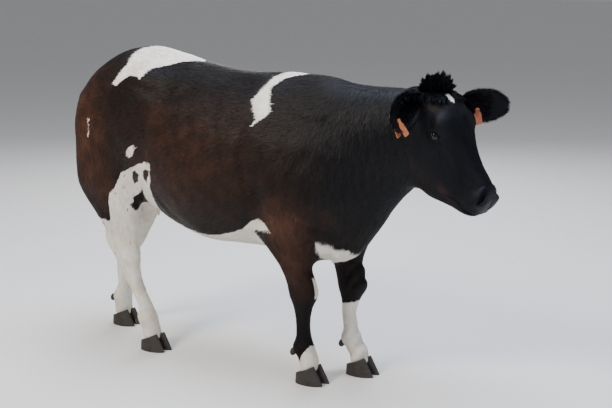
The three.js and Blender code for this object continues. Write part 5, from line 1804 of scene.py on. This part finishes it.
class COW_OT_stage(bpy.types.Operator):
    """A plain pale floor, soft lights and the camera"""
    bl_idname = "cow.stage"
    bl_label = "Studio"

    def execute(self, context):
        sizes = context.scene.cow_sizes
        size = 60.0
        corners = np.array([(-size, -size, 0), (size, -size, 0), (size, size, 0), (-size, size, 0)], float)
        mesh = make_mesh("floor", corners, [np.array([[0, 1, 2, 3]])])
        floor = bpy.data.objects.new("floor", mesh)
        context.scene.collection.objects.link(floor)
        material, tree, shader = new_material("studio floor, painted matt")
        where = node(tree, "ShaderNodeTexCoord").outputs["Object"]
        colour = colours_of(context.scene)["floor"]
        tint = mixed(tree, between(tree, noise(tree, where, 900, 2), 0.3, 0.7, 0.0, 0.05), colour,
                     linear("#c4c3bf"))
        tree.links.new(tint, shader.inputs["Base Color"])
        shader.inputs["Roughness"].default_value = 0.9
        mesh.materials.append(material)
        world = bpy.data.worlds.new("studio")
        world.use_nodes = True
        world.node_tree.nodes["Background"].inputs[0].default_value = linear("#e6e9ee")
        world.node_tree.nodes["Background"].inputs[1].default_value = 0.42
        context.scene.world = world
        middle = Vector((0.0, 0.0, 0.7))
        for name, at, width, power, colour in (
            ("sky softbox", (0.3, 0.4, 5.2), 4.0, 440, "#dfe9ff"),
            ("key softbox", (-1.2, -4.4, 4.6), 1.6, 330, "#fff4e6"),
            ("fill softbox", (5.0, -2.2, 2.4), 3.0, 70, "#f4f6ff"),
            ("rim softbox", (-2.8, 4.4, 3.6), 2.6, 160, "#ffffff"),
        ):
            light = bpy.data.lights.new(name, "AREA")
            light.size, light.energy, light.color = width, power, linear(colour)[:3]
            lamp = bpy.data.objects.new(name, light)
            lamp.location = at
            lamp.rotation_mode = "QUATERNION"
            lamp.rotation_quaternion = (middle - Vector(at)).to_track_quat("-Z", "Y")
            context.scene.collection.objects.link(lamp)
        camera = bpy.data.cameras.new("camera")
        camera.lens, camera.sensor_width = sizes.lens, 36.0
        camera.clip_start, camera.clip_end = 0.1, 200.0
        stand = bpy.data.objects.new("camera", camera)
        turn, pitch = sizes.camera_turn, sizes.camera_pitch
        ahead = Vector((-math.sin(turn) * math.cos(pitch), math.cos(turn) * math.cos(pitch),
                        -math.sin(pitch)))
        stand.location = sizes.camera_at
        stand.rotation_mode = "QUATERNION"
        stand.rotation_quaternion = ahead.to_track_quat("-Z", "Y")
        context.scene.collection.objects.link(stand)
        context.scene.camera = stand
        return {"FINISHED"}


OPERATORS = (COW_OT_stage, COW_OT_skin, COW_OT_eyes, COW_OT_feet, COW_OT_tags, COW_OT_coat, COW_OT_locks)


class COW_PT_panel(bpy.types.Panel):
    """Lists the cow's operators and settings"""
    bl_label = "Standing cow"
    bl_idname = "COW_PT_panel"
    bl_space_type = "VIEW_3D"
    bl_region_type = "UI"
    bl_category = "Cow"

    def draw(self, context):
        for operator in OPERATORS:
            self.layout.operator(operator.bl_idname)
        for group in (context.scene.cow_sizes, context.scene.cow_colours):
            for key in type(group).__annotations__:
                self.layout.prop(group, key)


CLASSES = (CowColours, CowSizes, *OPERATORS, COW_PT_panel)


def register():
    for cls in CLASSES:
        bpy.utils.register_class(cls)
    bpy.types.Scene.cow_colours = bpy.props.PointerProperty(type=CowColours)
    bpy.types.Scene.cow_sizes = bpy.props.PointerProperty(type=CowSizes)


def unregister():
    del bpy.types.Scene.cow_sizes
    del bpy.types.Scene.cow_colours
    for cls in reversed(CLASSES):
        bpy.utils.unregister_class(cls)


def main():
    """Builds everything in order."""
    register()
    for operator in OPERATORS:
        group, name = operator.bl_idname.split(".")
        getattr(getattr(bpy.ops, group), name)()


if __name__ == "__main__":
    main()
